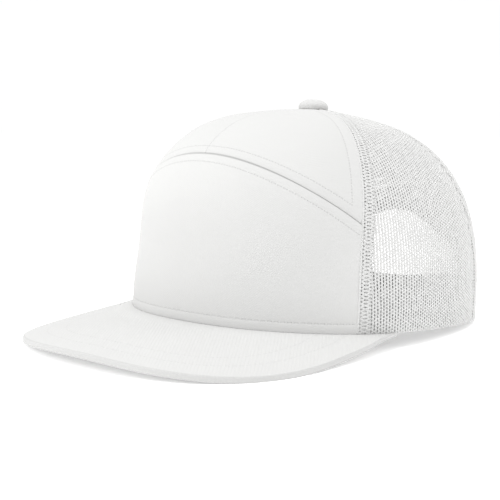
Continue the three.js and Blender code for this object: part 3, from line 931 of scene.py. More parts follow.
def knitted_net(name, colour):
    """Warp-knitted polyester net, heat-set: smooth bundled threads with a low gloss, which let some
    light through."""
    material, tree, surface = new_material(name, 0.55, specular=0.4)
    surface.inputs["Subsurface Weight"].default_value = 0.3
    surface.inputs["Subsurface Radius"].default_value = (1, 1, 1)
    surface.inputs["Subsurface Scale"].default_value = 0.001
    strands = grained(tree, surface, 2500, 2, 0.00008)
    colour = linear(colour)
    tint = add_node(tree, "ShaderNodeMix", {"Factor": strands, "A": colour, "B": toned(colour, 0.93)},
                    data_type="RGBA")
    tree.links.new(tint.outputs[2], surface.inputs["Base Color"])
    return material


def spun_thread(name, colour):
    """Spun polyester sewing thread: matt, with its twist drawn coarse enough to catch some light."""
    material, tree, surface = new_material(name, 0.7, sheen=0.1)
    grained(tree, surface, 3500, 1, 0.00005)
    surface.inputs["Base Color"].default_value = linear(colour)
    return material


def moulded_plastic(name, colour):
    """Injection-moulded polyethylene: smooth, waxy, with a soft gloss and a fine moulded grain."""
    material, tree, surface = new_material(name, 0.38, specular=0.5)
    surface.inputs["Subsurface Weight"].default_value = 0.15
    surface.inputs["Subsurface Radius"].default_value = (0.002, 0.002, 0.002)
    grained(tree, surface, 1200, 2, 0.00003)
    surface.inputs["Base Color"].default_value = linear(colour)
    return material


def white_paper(name, colour, glow):
    """Pale studio paper: matt and plain, lit a little from below so that its shadows stay soft."""
    material, tree, surface = new_material(name, 0.9, specular=0.1)
    grained(tree, surface, 300, 2, 0.00002)
    for key in ("Base Color", "Emission Color"):
        surface.inputs[key].default_value = linear(colour)
    surface.inputs["Emission Strength"].default_value = glow
    return material


def material_of(name, make, *args, **settings):
    """The material of that name, made the first time it is asked for."""
    return bpy.data.materials.get(name) or make(name, *args, **settings)


def crown_cloth(name, *ribs, **settings):
    """A cloth of the crown's colour, from its ribs' pitch, turn and depth."""
    return material_of(name, woven_cloth, bpy.context.scene.cap_cloth.colour, *ribs, **settings)


def net_yarn():
    return material_of("Knitted polyester net", knitted_net, NET_COLOUR)


def strap_plastic():
    return material_of("Moulded strap plastic", moulded_plastic, STRAP_COLOUR)


# Settings

class CapClothSettings(bpy.types.PropertyGroup):
    """Cloth of the front panels and the visor."""
    colour: bpy.props.FloatVectorProperty(
        name="Cloth Colour", description="Base colour of the white cloth of the crown",
        default=linear(CLOTH_COLOUR)[:3], min=0, max=1, subtype="COLOR")
    visor_colour: bpy.props.FloatVectorProperty(
        name="Visor Colour", description="Base colour of the white cloth of the visor",
        default=linear(VISOR_COLOUR)[:3], min=0, max=1, subtype="COLOR")
    stitch_inset: bpy.props.FloatProperty(
        name="Stitch Inset", description="Distance of the topstitching from each seam",
        default=0.005, min=0.002, max=0.012, unit="LENGTH")
    grid_step: bpy.props.FloatProperty(
        name="Mesh Step", description="Size of the faces of the cloth's mesh",
        default=0.0008, min=0.0004, max=0.003, unit="LENGTH")


class CapNetSettings(bpy.types.PropertyGroup):
    """Knitted net of the side and back panels."""
    wale_pitch: bpy.props.FloatProperty(
        name="Wale Pitch", description="Distance between two columns of holes",
        default=0.00185, min=0.001, max=0.005, unit="LENGTH")
    course_pitch: bpy.props.FloatProperty(
        name="Course Pitch", description="Distance between two holes of one column",
        default=0.0017, min=0.001, max=0.005, unit="LENGTH")
    hole_width: bpy.props.FloatProperty(
        name="Hole Width", description="Width of a hole as a share of its cell", default=0.34,
        min=0.1, max=0.95, subtype="FACTOR")
    hole_height: bpy.props.FloatProperty(
        name="Hole Height", description="Height of a hole as a share of its cell", default=0.75,
        min=0.1, max=0.95, subtype="FACTOR")
    thread: bpy.props.FloatProperty(
        name="Thread", description="Thickness of the knitted thread", default=0.0003,
        min=0.0002, max=0.001, unit="LENGTH")


class CapStitchSettings(bpy.types.PropertyGroup):
    """Topstitching."""
    pitch: bpy.props.FloatProperty(
        name="Stitch Pitch", description="Distance from one stitch to the next",
        default=STITCH_PITCH, min=0.0015, max=0.006, unit="LENGTH")
    length: bpy.props.FloatProperty(
        name="Stitch Length", description="Length of the thread that shows",
        default=STITCH_PITCH * (1 - 2 * STITCH_GAP),
        min=0.001, max=0.005, unit="LENGTH")
    thickness: bpy.props.FloatProperty(
        name="Thread Thickness", description="Diameter of the sewing thread", default=0.0003,
        min=0.0002, max=0.001, unit="LENGTH")


class CapVisorSettings(bpy.types.PropertyGroup):
    """Visor."""
    first_row: bpy.props.FloatProperty(
        name="First Row", description="Distance of the first row of stitches from the visor's edge",
        default=0.0120, min=0.004, max=0.05, unit="LENGTH")
    second_row: bpy.props.FloatProperty(
        name="Second Row", description="Distance of the second row of stitches from the visor's edge",
        default=0.0215, min=0.004, max=0.05, unit="LENGTH")
    rib_pitch: bpy.props.FloatProperty(
        name="Rib Pitch", description="Distance between two ribs of the visor's cloth",
        default=0.0016, min=0.0005, max=0.005, unit="LENGTH")
    rib_turn: bpy.props.FloatProperty(
        name="Rib Turn", description="Turn of the ribs from the visor's middle line",
        default=math.radians(-37), min=-math.pi, max=math.pi, subtype="ANGLE")


class CapStageSettings(bpy.types.PropertyGroup):
    """Lights."""
    room: bpy.props.FloatProperty(
        name="Room Light", description="Strength of the light that comes from all round",
        default=1.01, min=0, max=3)
    table: bpy.props.FloatProperty(
        name="Table Light", description="Strength of the light that shines up through the table's white top",
        default=0.3, min=0, max=3)
    lights: bpy.props.FloatProperty(
        name="Area Lights", description="Share of their power that the area lights give",
        default=1.0, min=0, max=5, subtype="FACTOR")


SETTINGS = {
    "cap_cloth": CapClothSettings,
    "cap_net": CapNetSettings,
    "cap_stitch": CapStitchSettings,
    "cap_visor": CapVisorSettings,
    "cap_stage": CapStageSettings,
}


# Front panels

Edge = namedtuple("Edge", "path fold puff tuck stitches inset", defaults=(0, 0, None, 0))


def edge_path(angle, way, depth=0.0):
    return on_table(crown_wall(angle, way, depth))


def constant(value):
    """A seam or an edge that keeps one plan angle or one way up the wall."""
    return lambda other: np.full(np.shape(other), float(value))


def beyond(seam, side, length=0.0):
    """A seam's plan angle on one side, moved past the seam by a length along the face."""
    def angle(way):
        middle = side * seam_angle(seam, way)
        return middle + side * gap_angle(middle, way, length)

    return angle


def in_order(side, inner, outer):
    """A pair as it stands on the wearer's left side, and turned round on the right."""
    return (inner, outer) if side > 0 else (outer, inner)


def cloth_panel(name, replaces, seams, ends, size, edges, gaps=(GAP, GAP)):
    """A stiffened cloth panel with its edges turned under and its flat cut kept as an attribute. Each
    edge has a path, the radius of its fold, how far it puffs up beside the seam or goes down to it, and
    the path of its stitches with their distance from the edge."""
    step = bpy.context.scene.cap_cloth.grid_step / MM
    columns, rows = (spaced(length, step) for length in size)
    angle, way = crown_grid(*seams, *ends, columns, rows, gaps)
    face = on_table(crown_face(angle, way))
    depth = np.zeros(angle.shape)
    beside = np.full((*angle.shape, 3), FAR)
    along = np.zeros((*angle.shape, 3))
    to_arch, _ = beside_path(face, arch_path())
    row = 0
    for edge in edges:
        distance, _ = beside_path(face, edge.path)
        depth += rolled(distance, edge.fold)
        depth += edge.tuck * (1 - smoothstep(distance, *ARCH_TUCK_FADE)) ** 1.3
        if edge.stitches is not None:
            from_row, run = beside_path(face, edge.stitches, ends=True)
            depth -= edge.puff * np.sin(np.pi * np.clip(distance / edge.inset, 0, 1)) ** 0.8
            depth += GROOVE_DEPTH * np.exp(-(from_row / GROOVE_WIDTH) ** 2)
            signed = from_row * np.sign(distance - edge.inset)
            beside[..., row] = np.where(from_row < 0.8 * FAR, signed, FAR)
            along[..., row] = run
            row += 1
    x, z = face[..., 0], face[..., 2]
    slack = SLACK * sum(np.sin(x * across + z * up) for across, up in SLACK_WAVES)
    across = run_length(face, 1)
    from_middle = across - across[:, [face.shape[1] // 2]]
    cloth = np.stack([from_middle, run_length(face, 0), np.zeros(angle.shape)], -1)
    # Painted shade along the arched seam, wider near its crest
    near_crest = 1 - smoothstep(np.abs(angle), 0, SEAM_SHADE_CREST_ENDS)
    reach = SEAM_SHADE_REACH * (1 + SEAM_SHADE_CREST * near_crest)
    seam = 1 - smoothstep(to_arch / reach, 0.5, 1)
    panel = shell(name, edge_path(angle, way, np.minimum(depth, CLOTH_WALL - LEAST_WALL) + slack),
                  edge_path(angle, way, CLOTH_WALL),
                  {"cloth": cloth, "row_beside": beside, "row_along": along, "seam": seam})
    twill = crown_cloth("Front twill cloth", 0.0009, 50, 0.00003, rows=3)
    return finished(panel, twill, replaces)


def arch_way(angle, away=0.0):
    return way_at(angle, arch_height(angle) + away)


def arch_path():
    angle = np.linspace(-FRONT_ENDS, FRONT_ENDS, 400)
    return edge_path(angle, arch_way(angle))


def rim_path():
    angle = np.linspace(-FRONT_ENDS, FRONT_ENDS, 400)
    return edge_path(angle, np.zeros(400))


def seam_path(seam, side):
    way = np.linspace(0, 1, 400)
    return edge_path(side * seam_angle(seam, way), way)


def centre_path():
    way = np.linspace(0.6, 1, 300)
    return edge_path(np.zeros(300), way)


def arch_row(inset, end):
    """Angles and ways of a row of stitches above the arched seam, or below it for a negative inset."""
    angle = np.linspace(-end, end, 180)
    way = arch_way(angle)
    run = np.gradient(angle) / gap_angle(angle, way, 1)
    slope = np.gradient(arch_height(angle)) / np.maximum(run, 1e-9)
    return angle, climbed(angle, way, inset * np.sqrt(1 + slope ** 2))


def rim_row(height, start, end):
    """Angles and ways of a row of stitches above the rim."""
    angle = np.linspace(start, end, 300)
    return angle, way_at(angle, height)


def seam_row(seam, side, away, low, high):
    """Angles and ways of a row of stitches beside a seam, behind it for a positive distance."""
    way = np.linspace(low, high, 200)
    middle = seam_angle(seam, way)
    return side * (middle + gap_angle(middle, way, away)), way


def front_rows():
    """The rows of topstitching on the front panels, by name, as angles and ways."""
    inset = bpy.context.scene.cap_cloth.stitch_inset
    rows = {
        "below_arch": arch_row(-inset, BELOW_ARCH_END),
        "above_arch": arch_row(inset, ABOVE_ARCH_END),
        "rim": rim_row(inset * RIM_INSET, -RIM_ROW_END, RIM_ROW_END),
    }
    foot, top = arch_way(SIDE_ROW_FOOT, inset), way_near_top(*SIDE_ROW_TOP)
    for side in (-1, 1):
        rows[f"side_{side}"] = seam_row(FRONT_SEAM, side, -inset * SIDE_INSET, foot, top)
    return rows


def build_front_panels():
    inset = bpy.context.scene.cap_cloth.stitch_inset
    arch = arch_path()
    rows = {name: edge_path(*row) for name, row in front_rows().items()}
    seams = {side: seam_path(FRONT_SEAM, side) for _, side in SIDES}
    cloth_panel("lower_front_cloth", ["lower_front_panel"],
                (beyond(FRONT_SEAM, -1), beyond(FRONT_SEAM, 1)),
                (constant(0), lambda angle: arch_way(angle, -GAP / 2)), LOWER_PANEL_MM,
                [Edge(arch, ARCH_FOLD, EDGE_PUFF, 0, rows["below_arch"], inset),
                 Edge(rim_path(), RIM_FOLD, EDGE_PUFF, 0, rows["rim"], inset * RIM_INSET),
                 Edge(seams[1], SEAM_FOLD), Edge(seams[-1], SEAM_FOLD)])
    for word, side in SIDES:
        cloth_panel(f"upper_front_cloth_{word}", [f"upper_front_panel_{word}"],
                    in_order(side, constant(0), beyond(FRONT_SEAM, side)),
                    (lambda angle: arch_way(angle, GAP / 2), lambda angle: way_near_top(angle, POLE_HOLE)),
                    UPPER_PANEL_MM,
                    [Edge(arch, UPPER_ARCH_FOLD, 0, ARCH_TUCK, rows["above_arch"], inset),
                     Edge(seams[side], SEAM_FOLD, SIDE_PUFF, 0, rows[f"side_{side}"], inset * SIDE_INSET),
                     Edge(centre_path(), CENTRE_FOLD)],
                    in_order(side, CLOSE_GAP, GAP))


# Stitching

def stitched(name, paths, lift=0.0):
    """Rows of stitches along paths, each a pair of points and outward directions in the row's frame.

    Known fault: a path is stepped by its length and the turning of its directions together, and is then
    cut as if by its length alone, so that only the start of each row gets thread."""
    stitch = bpy.context.scene.cap_stitch
    points, facings, edges = [], [], []
    for path, facing in paths:
        fine = finely(np.concatenate([path, facing], 1), GUIDE_STEP)
        length = math.floor(run_length(path, 0)[-1] / stitch.pitch) * stitch.pitch
        fine = fine[:int(length / GUIDE_STEP)]
        start = len(points)
        points += list(fine[:, :3] + unit(fine[:, 3:]) * lift)
        facings += list(unit(fine[:, 3:]))
        edges += [(k, k + 1) for k in range(start, len(points) - 1)]
    guide = new_object(name + "_path", points, attributes={"facing": np.array(facings)}, edges=edges)
    tree = bpy.data.node_groups.get("Row of stitches") or stitch_tree()
    thread = material_of("Spun sewing thread", spun_thread, THREAD_COLOUR)
    made = through_tree(guide, tree, name, pitch=stitch.pitch, length=stitch.length, thread=stitch.thickness,
                        rise=stitch.thickness * STITCH_RISE, material=thread)
    return finished(made, None)


def on_wall(row, depth=0.0):
    """A row's points and outward directions in the row's frame."""
    return edge_path(*row, depth), turned_to_table(crown_outwards(*row))


def build_stitching():
    inset = bpy.context.scene.cap_cloth.stitch_inset
    stitched("front_topstitching", [on_wall(row, FRONT_ROW_SUNK) for row in front_rows().values()])
    top = way_near_top(*NET_ROW_TOP)
    beside = (-NET_SEAM_CREASE, NET_SEAM_CREASE)
    net_rows = []
    for side in (-1, 1):
        for away in beside:
            row = seam_row(SIDE_SEAM, side, away, NET_ROW_FOOT, top)
            net_rows.append(on_wall(row, NET_SEAM_ROW_SUNK))
        row = seam_row(FRONT_SEAM, side, NET_CREASE, NET_ROW_FOOT, top)
        net_rows.append(on_wall(row, NET_FRONT_ROW_SUNK))
        start, end = (side * angle for angle in NET_RIM_ROW_ENDS)
        net_rows.append(on_wall(rim_row(inset * NET_RIM_INSET, start, end), NET_RIM_ROW_SUNK))
    foot = way_at(CENTRE_BACK, OPENING_HEIGHT + BINDING_WIDTH + BACK_ROW_CLEARANCE)
    way = np.linspace(foot, top, 150)
    middle = np.full(way.shape, CENTRE_BACK)
    for away in beside:
        net_rows.append(on_wall((middle + gap_angle(middle, way, away), way), NET_SEAM_ROW_SUNK))
    stitched("net_topstitching", net_rows)
    stitched("opening_stitching", [on_wall(arch_line(BINDING_ROW, 200), -BINDING_PROUD)])
    visor = bpy.context.scene.cap_visor
    paths = [visor_row(distance) for distance in (visor.first_row, visor.second_row)]
    stitched("visor_stitching", paths, lift=-VISOR_ROW_SUNK)


def visor_row(inset):
    """A row of stitches on the visor's upper face, at a distance from its outer edge."""
    edge = visor_edge(np.linspace(-1, 1, 900))
    ahead = unit(np.gradient(edge, axis=0))
    place = edge + np.stack([-ahead[:, 1], ahead[:, 0]], -1) * inset
    place = place[np.linalg.norm(place[:, None] - edge[None], axis=2).min(1) > inset * 0.995]
    rim = np.stack(rim_point(np.linspace(-VISOR_END, VISOR_END, 500)), -1)
    away = np.linalg.norm(place[:, None] - rim[None], axis=2).min(1)
    outside = (place[:, 1] < rim[:, 1].max()) & (away > VISOR_ROW_CLEARANCE)
    angle = np.arctan2(np.abs(place[:, 0]), -place[:, 1])
    half = rim[len(rim) // 2:]
    rim_angle = np.arctan2(np.abs(half[:, 0]), -half[:, 1])
    outside &= np.hypot(*place.T) > np.interp(angle, rim_angle, np.hypot(*half.T))
    place, away = place[outside], away[outside]

    def surface(points):
        return np.concatenate([points, visor_height(points[:, 0], points[:, 1], away)[:, None]], 1)

    here = surface(place)
    across = surface(place + np.array([0.0005, 0])) - here
    ahead = surface(place + np.array([0, 0.0005])) - here
    return on_table(here), turned_to_table(unit(np.cross(across, ahead)))


# Net panels

def knitted(name, angle, way, depth, flat, faces, replaces=(), **sizes):
    """A piece of net, knitted by the tree on its flat cut with each point's place on the crown."""
    net = bpy.context.scene.cap_net
    used = {key: getattr(net, key) for key in CapNetSettings.__annotations__}
    used.update(sizes, material=net_yarn())
    pattern = new_object(name + "_pattern", flat, faces,
                         {"place": edge_path(angle, way, depth),
                          "facing": turned_to_table(crown_outwards(angle, way))})
    tree = bpy.data.node_groups.get("Knitted net") or net_tree()
    return finished(through_tree(pattern, tree, name, **used), None, replaces)


def net_panel(name, replaces, seams, depth_at, cut=None):
    """A net panel from the rim to the button, between two seams and less the faces that are cut out."""
    rows, columns = 80, 120
    across = (1 - np.cos(np.pi * np.linspace(0, 1, columns + 1))) / 2
    angle, way = crown_grid(*seams, constant(0), lambda angle: way_near_top(angle, POLE_HOLE),
                            across, np.linspace(0, 1, rows + 1))
    face = crown_face(angle, way)
    run, rise = run_length(face, 1), run_length(face, 0)
    middle = [columns // 2]
    flat = np.stack([run - run[:, middle], np.repeat(rise[:, middle], columns + 1, 1), 0 * run], -1)
    faces = grid_faces(rows + 1, columns + 1)
    if cut is not None:
        faces = faces[~cut(face.reshape(-1, 3)[faces].mean(1))]
    return knitted(name, angle, way, depth_at(angle, way), flat, faces, replaces)


def flat_of(angle, way):
    """The flat cut of a strip or a band on the wall, by its lengths along and up."""
    face = crown_face(angle, way)
    return np.stack([run_length(face, 1), run_length(face, 0), np.zeros(angle.shape)], -1)


def net_strip(name, angle, way, depth, **knit):
    """A narrow second layer of net inside the first, such as a seam allowance or a hem. Its columns are
    put in order towards the wearer's left, so that it faces outwards."""
    if angle[0, 0] > angle[0, -1]:
        angle, way = angle[:, ::-1], way[:, ::-1]
    return knitted(name, angle, way, depth, flat_of(angle, way), grid_faces(*angle.shape),
                   shift=STRIP_SHIFT, **knit)


def behind_seam(side, lengths, steps, top, rows):
    """Angles and ways at lengths along the face behind a front seam, one column for each length."""
    ways = np.linspace(NET_EDGE_FOOT, way_near_top(*top), rows)[:, None]
    middle = side * seam_angle(FRONT_SEAM, ways)
    angle = middle + side * gap_angle(middle, ways, 1) * np.linspace(*lengths, steps)
    return angle, ways + 0 * angle


def build_net_edges():
    """The seam allowances beside the front panels, their folds, and the hem along the rim."""
    for word, side in SIDES:
        angle, way = behind_seam(side, FOLD_LENGTHS, 10, FOLD_TOP, 200)
        fold = wall_band(f"net_fold_{word}", angle.T, way.T, FOLD_DEPTH, FOLD_WALL)
        finished(fold, net_yarn())
        angle, way = behind_seam(side, TURNED_LENGTHS, 12, FOLD_TOP, 200)
        net_strip(f"turned_net_{word}", angle, way, TURNED_DEPTH, **TURNED_KNIT)
        angle, way = behind_seam(side, ALLOWANCE_LENGTHS, 9, ALLOWANCE_TOP, 120)
        net_strip(f"seam_allowance_{word}", angle, way, ALLOWANCE_DEPTH, **ALLOWANCE_KNIT)
        angle = side * np.linspace(*HEM_ENDS, 120)[None] + np.zeros((8, 1))
        way = way_at(angle, np.linspace(*HEM_HEIGHTS, 8)[:, None])
        net_strip(f"rim_hem_{word}", angle, way, HEM_DEPTH, thread=HEM_THREAD)


def seam_depth(distance):
    """How far the net goes down to a seam between two net panels, and to the stitches beside it."""
    from_row = (distance - NET_SEAM_CREASE) / NET_SEAM_CREASE_WIDTH
    crease = NET_SEAM_CREASE_DEPTH * np.exp(-from_row ** 2)
    return NET_SEAM_DEPTH * (1 - smoothstep(distance, 0, NET_SEAM_REACH)) + crease


def side_depth(angle, way):
    """How deep a side net lies: under the front panel, at the crease behind it and at the side seam."""
    per_degree = 1 / gap_angle(angle, way, 1)
    behind_front = (np.abs(angle) - seam_angle(FRONT_SEAM, way)) * per_degree
    before_side = (seam_angle(SIDE_SEAM, way) - np.abs(angle)) * per_degree
    tucked = NET_TUCK_DEPTH * (1 - smoothstep(behind_front, *NET_TUCK_FADE))
    crease = NET_CREASE_DEPTH * np.exp(-((behind_front - NET_CREASE) / NET_CREASE_WIDTH) ** 2)
    return NET_DEPTH + tucked + crease + seam_depth(before_side)


def back_depth(angle, way):
    """How deep a back net lies: at the side seam and at the centre back."""
    per_degree = 1 / gap_angle(angle, way, 1)
    behind_side = (np.abs(angle) - seam_angle(SIDE_SEAM, way)) * per_degree
    to_centre = (CENTRE_BACK - np.abs(angle)) * per_degree
    return NET_DEPTH + seam_depth(np.minimum(behind_side, to_centre))


def in_opening(places):
    """Which places the back opening and most of its binding take from the net."""
    margin = BINDING_WIDTH - NET_CUT_BACK
    inside = (places[:, 0] / (OPENING_HALF_WIDTH + margin)) ** 2
    inside += (np.maximum(places[:, 2], 0) / (OPENING_HEIGHT + margin)) ** 2
    return (inside < 1) & (places[:, 1] > 0)


def build_net_panels():
    for word, side in SIDES:
        front, seam = beyond(FRONT_SEAM, side, -NET_TUCK), beyond(SIDE_SEAM, side)
        net_panel(f"side_net_{word}", [f"side_mesh_{word}"], in_order(side, front, seam), side_depth)
        centre = constant(side * CENTRE_BACK)
        net_panel(f"back_net_{word}", [f"back_mesh_{word}"], in_order(side, seam, centre), back_depth,
                  in_opening)
    build_net_edges()


# Visor

def visor_edge(along):
    """x and y of the visor's outer edge, from its right end at -1 through the front to its left end at 1."""
    side = np.where(along < 0, -1, 1)
    place = np.abs(along) / VISOR_SHOULDER
    turn = np.radians(90 * np.clip(place, 0, 1))
    power = 2 / VISOR_SQUARENESS
    depth = VISOR_WIDEST + FRONT_REACH + VISOR_LENGTH
    front_x = VISOR_HALF_WIDTH * np.sin(turn) ** power
    front_y = VISOR_WIDEST - depth * np.maximum(np.cos(turn), 0) ** power
    end_x, end_y = rim_point(VISOR_END)
    turn = np.radians(90 * np.clip((np.abs(along) - VISOR_SHOULDER) / (1 - VISOR_SHOULDER), 0, 1))
    power = 2 / VISOR_END_CURVE
    back_x = end_x + (VISOR_HALF_WIDTH - end_x) * np.maximum(np.cos(turn), 0) ** power
    back_y = VISOR_WIDEST + (end_y - VISOR_WIDEST) * np.sin(turn) ** power
    return np.stack([side * np.where(place <= 1, front_x, back_x), np.where(place <= 1, front_y, back_y)], -1)


def visor_height(x, y, distance):
    """Height of the visor's upper face in the rim's frame, at a distance outside the rim."""
    free = math.tan(VISOR_DROOP) * (y + FRONT_REACH) - VISOR_BOW * x * x
    lifted = VISOR_LIFT * np.exp(-(distance / VISOR_LIFT_WIDTH) ** 2)
    return -GAP + lifted + (free + GAP) * smoothstep(distance, -0.001, VISOR_EASE)


def build_visor():
    """One closed loop of points for each section of the visor: above, round its edge and below."""
    rows = bpy.context.scene.cap_visor
    sections, across, round_steps, under = 240, 72, 16, 18
    along = np.linspace(-VISOR_MESH_END, VISOR_MESH_END, sections + 1)
    rim = np.stack(rim_point(VISOR_END * along), -1)
    edge = visor_edge(along)
    reach = np.maximum(np.linalg.norm(edge - rim, axis=1), VISOR_LEAST_REACH)
    outwards = (edge - rim) / reach[:, None]
    wall = VISOR_WALL + (VISOR_TIP_WALL - VISOR_WALL) * smoothstep(np.abs(along), VISOR_SHOULDER, 1)
    radius = np.minimum(wall / 2, reach / 2)
    before, behind = (np.stack(rim_point(VISOR_END * along + turn), -1) for turn in (-0.5, 0.5))
    ahead = unit(behind - before)
    tucked = rim + np.stack([-ahead[:, 1], ahead[:, 0]], -1) * VISOR_TUCK
    flat = reach - radius

    def face(shares, drop):
        distance = shares[None] * flat[:, None]
        place = rim[:, None] + outwards[:, None] * distance[..., None]
        distance = np.concatenate([np.full((len(along), 1), -VISOR_TUCK), distance], 1)
        place = np.concatenate([tucked[:, None], place], 1)
        height = visor_height(place[..., 0], place[..., 1], distance) - drop[:, None]
        return np.concatenate([place, height[..., None]], -1)

    upper = face(np.linspace(0, 1, across), np.zeros(len(along)))
    lower = face(np.linspace(0, 1, under), wall)
    turns = np.radians(np.linspace(0, 180, round_steps + 2)[1:-1])
    bulge = np.sin(turns) ** VISOR_EDGE_ROUNDNESS
    fall = signed_power(np.cos(turns), VISOR_EDGE_ROUNDNESS)
    place = rim[:, None] + outwards[:, None] * (flat[:, None] + radius[:, None] * bulge)[..., None]
    height = visor_height(place[..., 0], place[..., 1], np.repeat(flat[:, None], round_steps, 1))
    height = height - wall[:, None] / 2 * (1 - fall)
    edge_band = np.concatenate([place, height[..., None]], -1)
    loops = np.concatenate([upper, edge_band, lower[:, ::-1]], 1)
    count, size = loops.shape[:2]
    index = np.arange(count * size).reshape(count, size)
    following = np.roll(index, -1, 1)
    sides = np.stack([index[:-1], following[:-1], following[1:], index[1:]], -1).reshape(-1, 4)
    caps = [(line[-k - 1], line[-k - 2], line[k + 1], line[k])
            for line in (index[0], index[-1][::-1]) for k in range(size // 2 - 1)]

    plan = loops[..., :2]
    places = on_table(loops)
    distance, _ = beside_path(plan, visor_edge(np.linspace(-1, 1, 1500)))
    beside = np.full(places.shape, FAR)
    along_row = np.zeros(places.shape)
    for number, inset in enumerate((rows.first_row, rows.second_row)):
        from_row, run = beside_path(places, visor_row(inset)[0])
        beside[..., number] = np.clip(from_row, 0, ROW_REACH) * np.sign(distance - inset)
        along_row[..., number] = run
    cloth = np.concatenate([plan, np.zeros((count, size, 1))], -1)
    # Painted shade on the visor's edge band and underside
    painted_edge_shade = np.zeros((count, size))
    painted_edge_shade[:, upper.shape[1]:] = VISOR_EDGE_SHADE
    visor = new_object("visor_cloth", places, np.concatenate([sides, caps]),
                       {"cloth": cloth, "row_beside": beside, "row_along": along_row, "seam": painted_edge_shade})
    twill = material_of("Visor twill cloth", woven_cloth, bpy.context.scene.cap_cloth.visor_colour,
                        rows.rib_pitch, math.degrees(rows.rib_turn), 0.00006, rows=2, shade=0.06, holes=0.0)
    finished(outwards_checked(visor), twill, ["visor"])


# Button

def build_button():
    """A pressed button covered in cloth that is gathered under its edge."""
    steps, rings = 96, 22
    turn = np.linspace(0, 2 * np.pi, steps, endpoint=False)
    tilt = np.linspace(-BUTTON_UNDERCUT, math.pi / 2, rings)[:, None]
    widest = BUTTON_WIDEST_SHARE * BUTTON_HEIGHT
    gathers = sum(size * np.sin(turn * count + shift) for count, shift, size in BUTTON_GATHERS) / 2
    depth = BUTTON_GATHER_DEPTH * smoothstep(-np.degrees(tilt), -35, 15)
    radius = (BUTTON_RADIUS + BUTTON_CLOTH) * np.cos(tilt) ** BUTTON_ROUNDNESS + gathers[None] * depth
    under = 1 + np.sin(tilt) / math.sin(BUTTON_UNDERCUT)
    low = (widest + BUTTON_SUNK) * under - BUTTON_SUNK
    high = widest + (BUTTON_HEIGHT - widest) * np.sin(tilt)
    height = GAP + np.where(tilt < 0, low, high) + 0 * radius
    rounds = np.stack([radius * np.cos(turn), radius * np.sin(turn), height], -1)
    base = np.stack([SHANK_RADIUS * np.cos(turn), SHANK_RADIUS * np.sin(turn), np.full(turn.shape, GAP)], -1)
    foot = base - np.array([0, 0, SHANK_LENGTH])
    rounds = np.concatenate([foot[None], base[None], rounds[:-1]])
    count = len(rounds)
    ends = np.array([[0, 0, GAP + BUTTON_HEIGHT], [0, 0, GAP - SHANK_LENGTH]])
    points = np.concatenate([rounds.reshape(-1, 3), ends])
    points = points + np.array([0, TOP_BEHIND, CROWN_HEIGHT + PEAK_RISE])
    index = np.arange(count * steps).reshape(count, steps)
    following = np.roll(index, -1, 1)
    faces = np.stack([index[:-1], following[:-1], following[1:], index[1:]], -1).reshape(-1, 4).tolist()
    top, bottom = count * steps, count * steps + 1
    faces += [(index[-1, k], following[-1, k], top) for k in range(steps)]
    faces += [(following[0, k], index[0, k], bottom) for k in range(steps)]
    cloth = np.stack([points[:, 0], points[:, 1], np.zeros(len(points))], -1)
    button = outwards_checked(new_object("button_cloth", on_table(points), faces, {"cloth": cloth}))
    finished(button, crown_cloth("Button cloth", 0.0009, 20, 0.00007), ["top_button"])


# Sweatband, tapes, binding and strap

def wall_band(name, angle, way, depth, thickness, attributes=None):
    """A closed band on the crown's wall, for grids of angles and ways, with its edges rounded."""
    up = np.linspace(0, 1, len(angle))[:, None]
    corners = crown_face(angle[[0, -1], 0], way[[0, -1], 0])
    length = np.linalg.norm(corners[1] - corners[0])
    from_edge = np.minimum(up, 1 - up) * max(length, 1e-4)
    round_off = rolled(from_edge, thickness / 2)
    return shell(name, edge_path(angle, way, depth + round_off),
                 edge_path(angle, way, depth + thickness - round_off), attributes)


def build_sweatband():
    share = spaced(BAND_HEIGHT / MM, 1.2, (0, 0.2, 0.5, 0.9))[:, None]
    angle = np.linspace(-BAND_END, BAND_END, 400)[None] + 0 * share
    way = way_at(angle, BAND_FOOT + (BAND_HEIGHT - BAND_FOOT) * share)
    step = smoothstep(np.abs(angle), *BAND_STEP)
    depth = BAND_DEPTH + (BAND_DEPTH_AT_STRAP - BAND_DEPTH) * step
    ripple = BAND_RIPPLE * np.sin(np.radians(angle) * BAND_RIPPLES) * np.sin(np.pi * share)
    band = wall_band("sweatband_cloth", angle, way, depth + ripple, BAND_WALL, {"cloth": flat_of(angle, way)})
    fabric = material_of("Sweatband cloth", woven_cloth, linear(BAND_COLOUR), 0.0011, 0, 0.00008)
    finished(band, fabric, ["sweatband"])


def inner_tape(name, centre, low, high, width, depth_before, depth_behind):
    """A tape sewn over a seam on the inside of the crown, at one depth on each side of the seam."""
    ways = np.linspace(low, high, 160)
    middle = centre(ways)
    across = np.linspace(-1, 1, 25)
    angle = (middle[:, None] + gap_angle(middle, ways, width / 2)[:, None] * across[None]).T
    way = np.repeat(ways[None], len(across), 0)
    behind = smoothstep(across * np.sign(middle[0] or 1), -0.05, 0.2)[:, None] + 0 * angle
    depth = depth_before + (depth_behind - depth_before) * behind
    tape = wall_band(name, angle, way, depth, TAPE_WALL, {"cloth": flat_of(angle, way)})
    finished(tape, crown_cloth("Seam tape", 0.0008, 90, 0.00008))


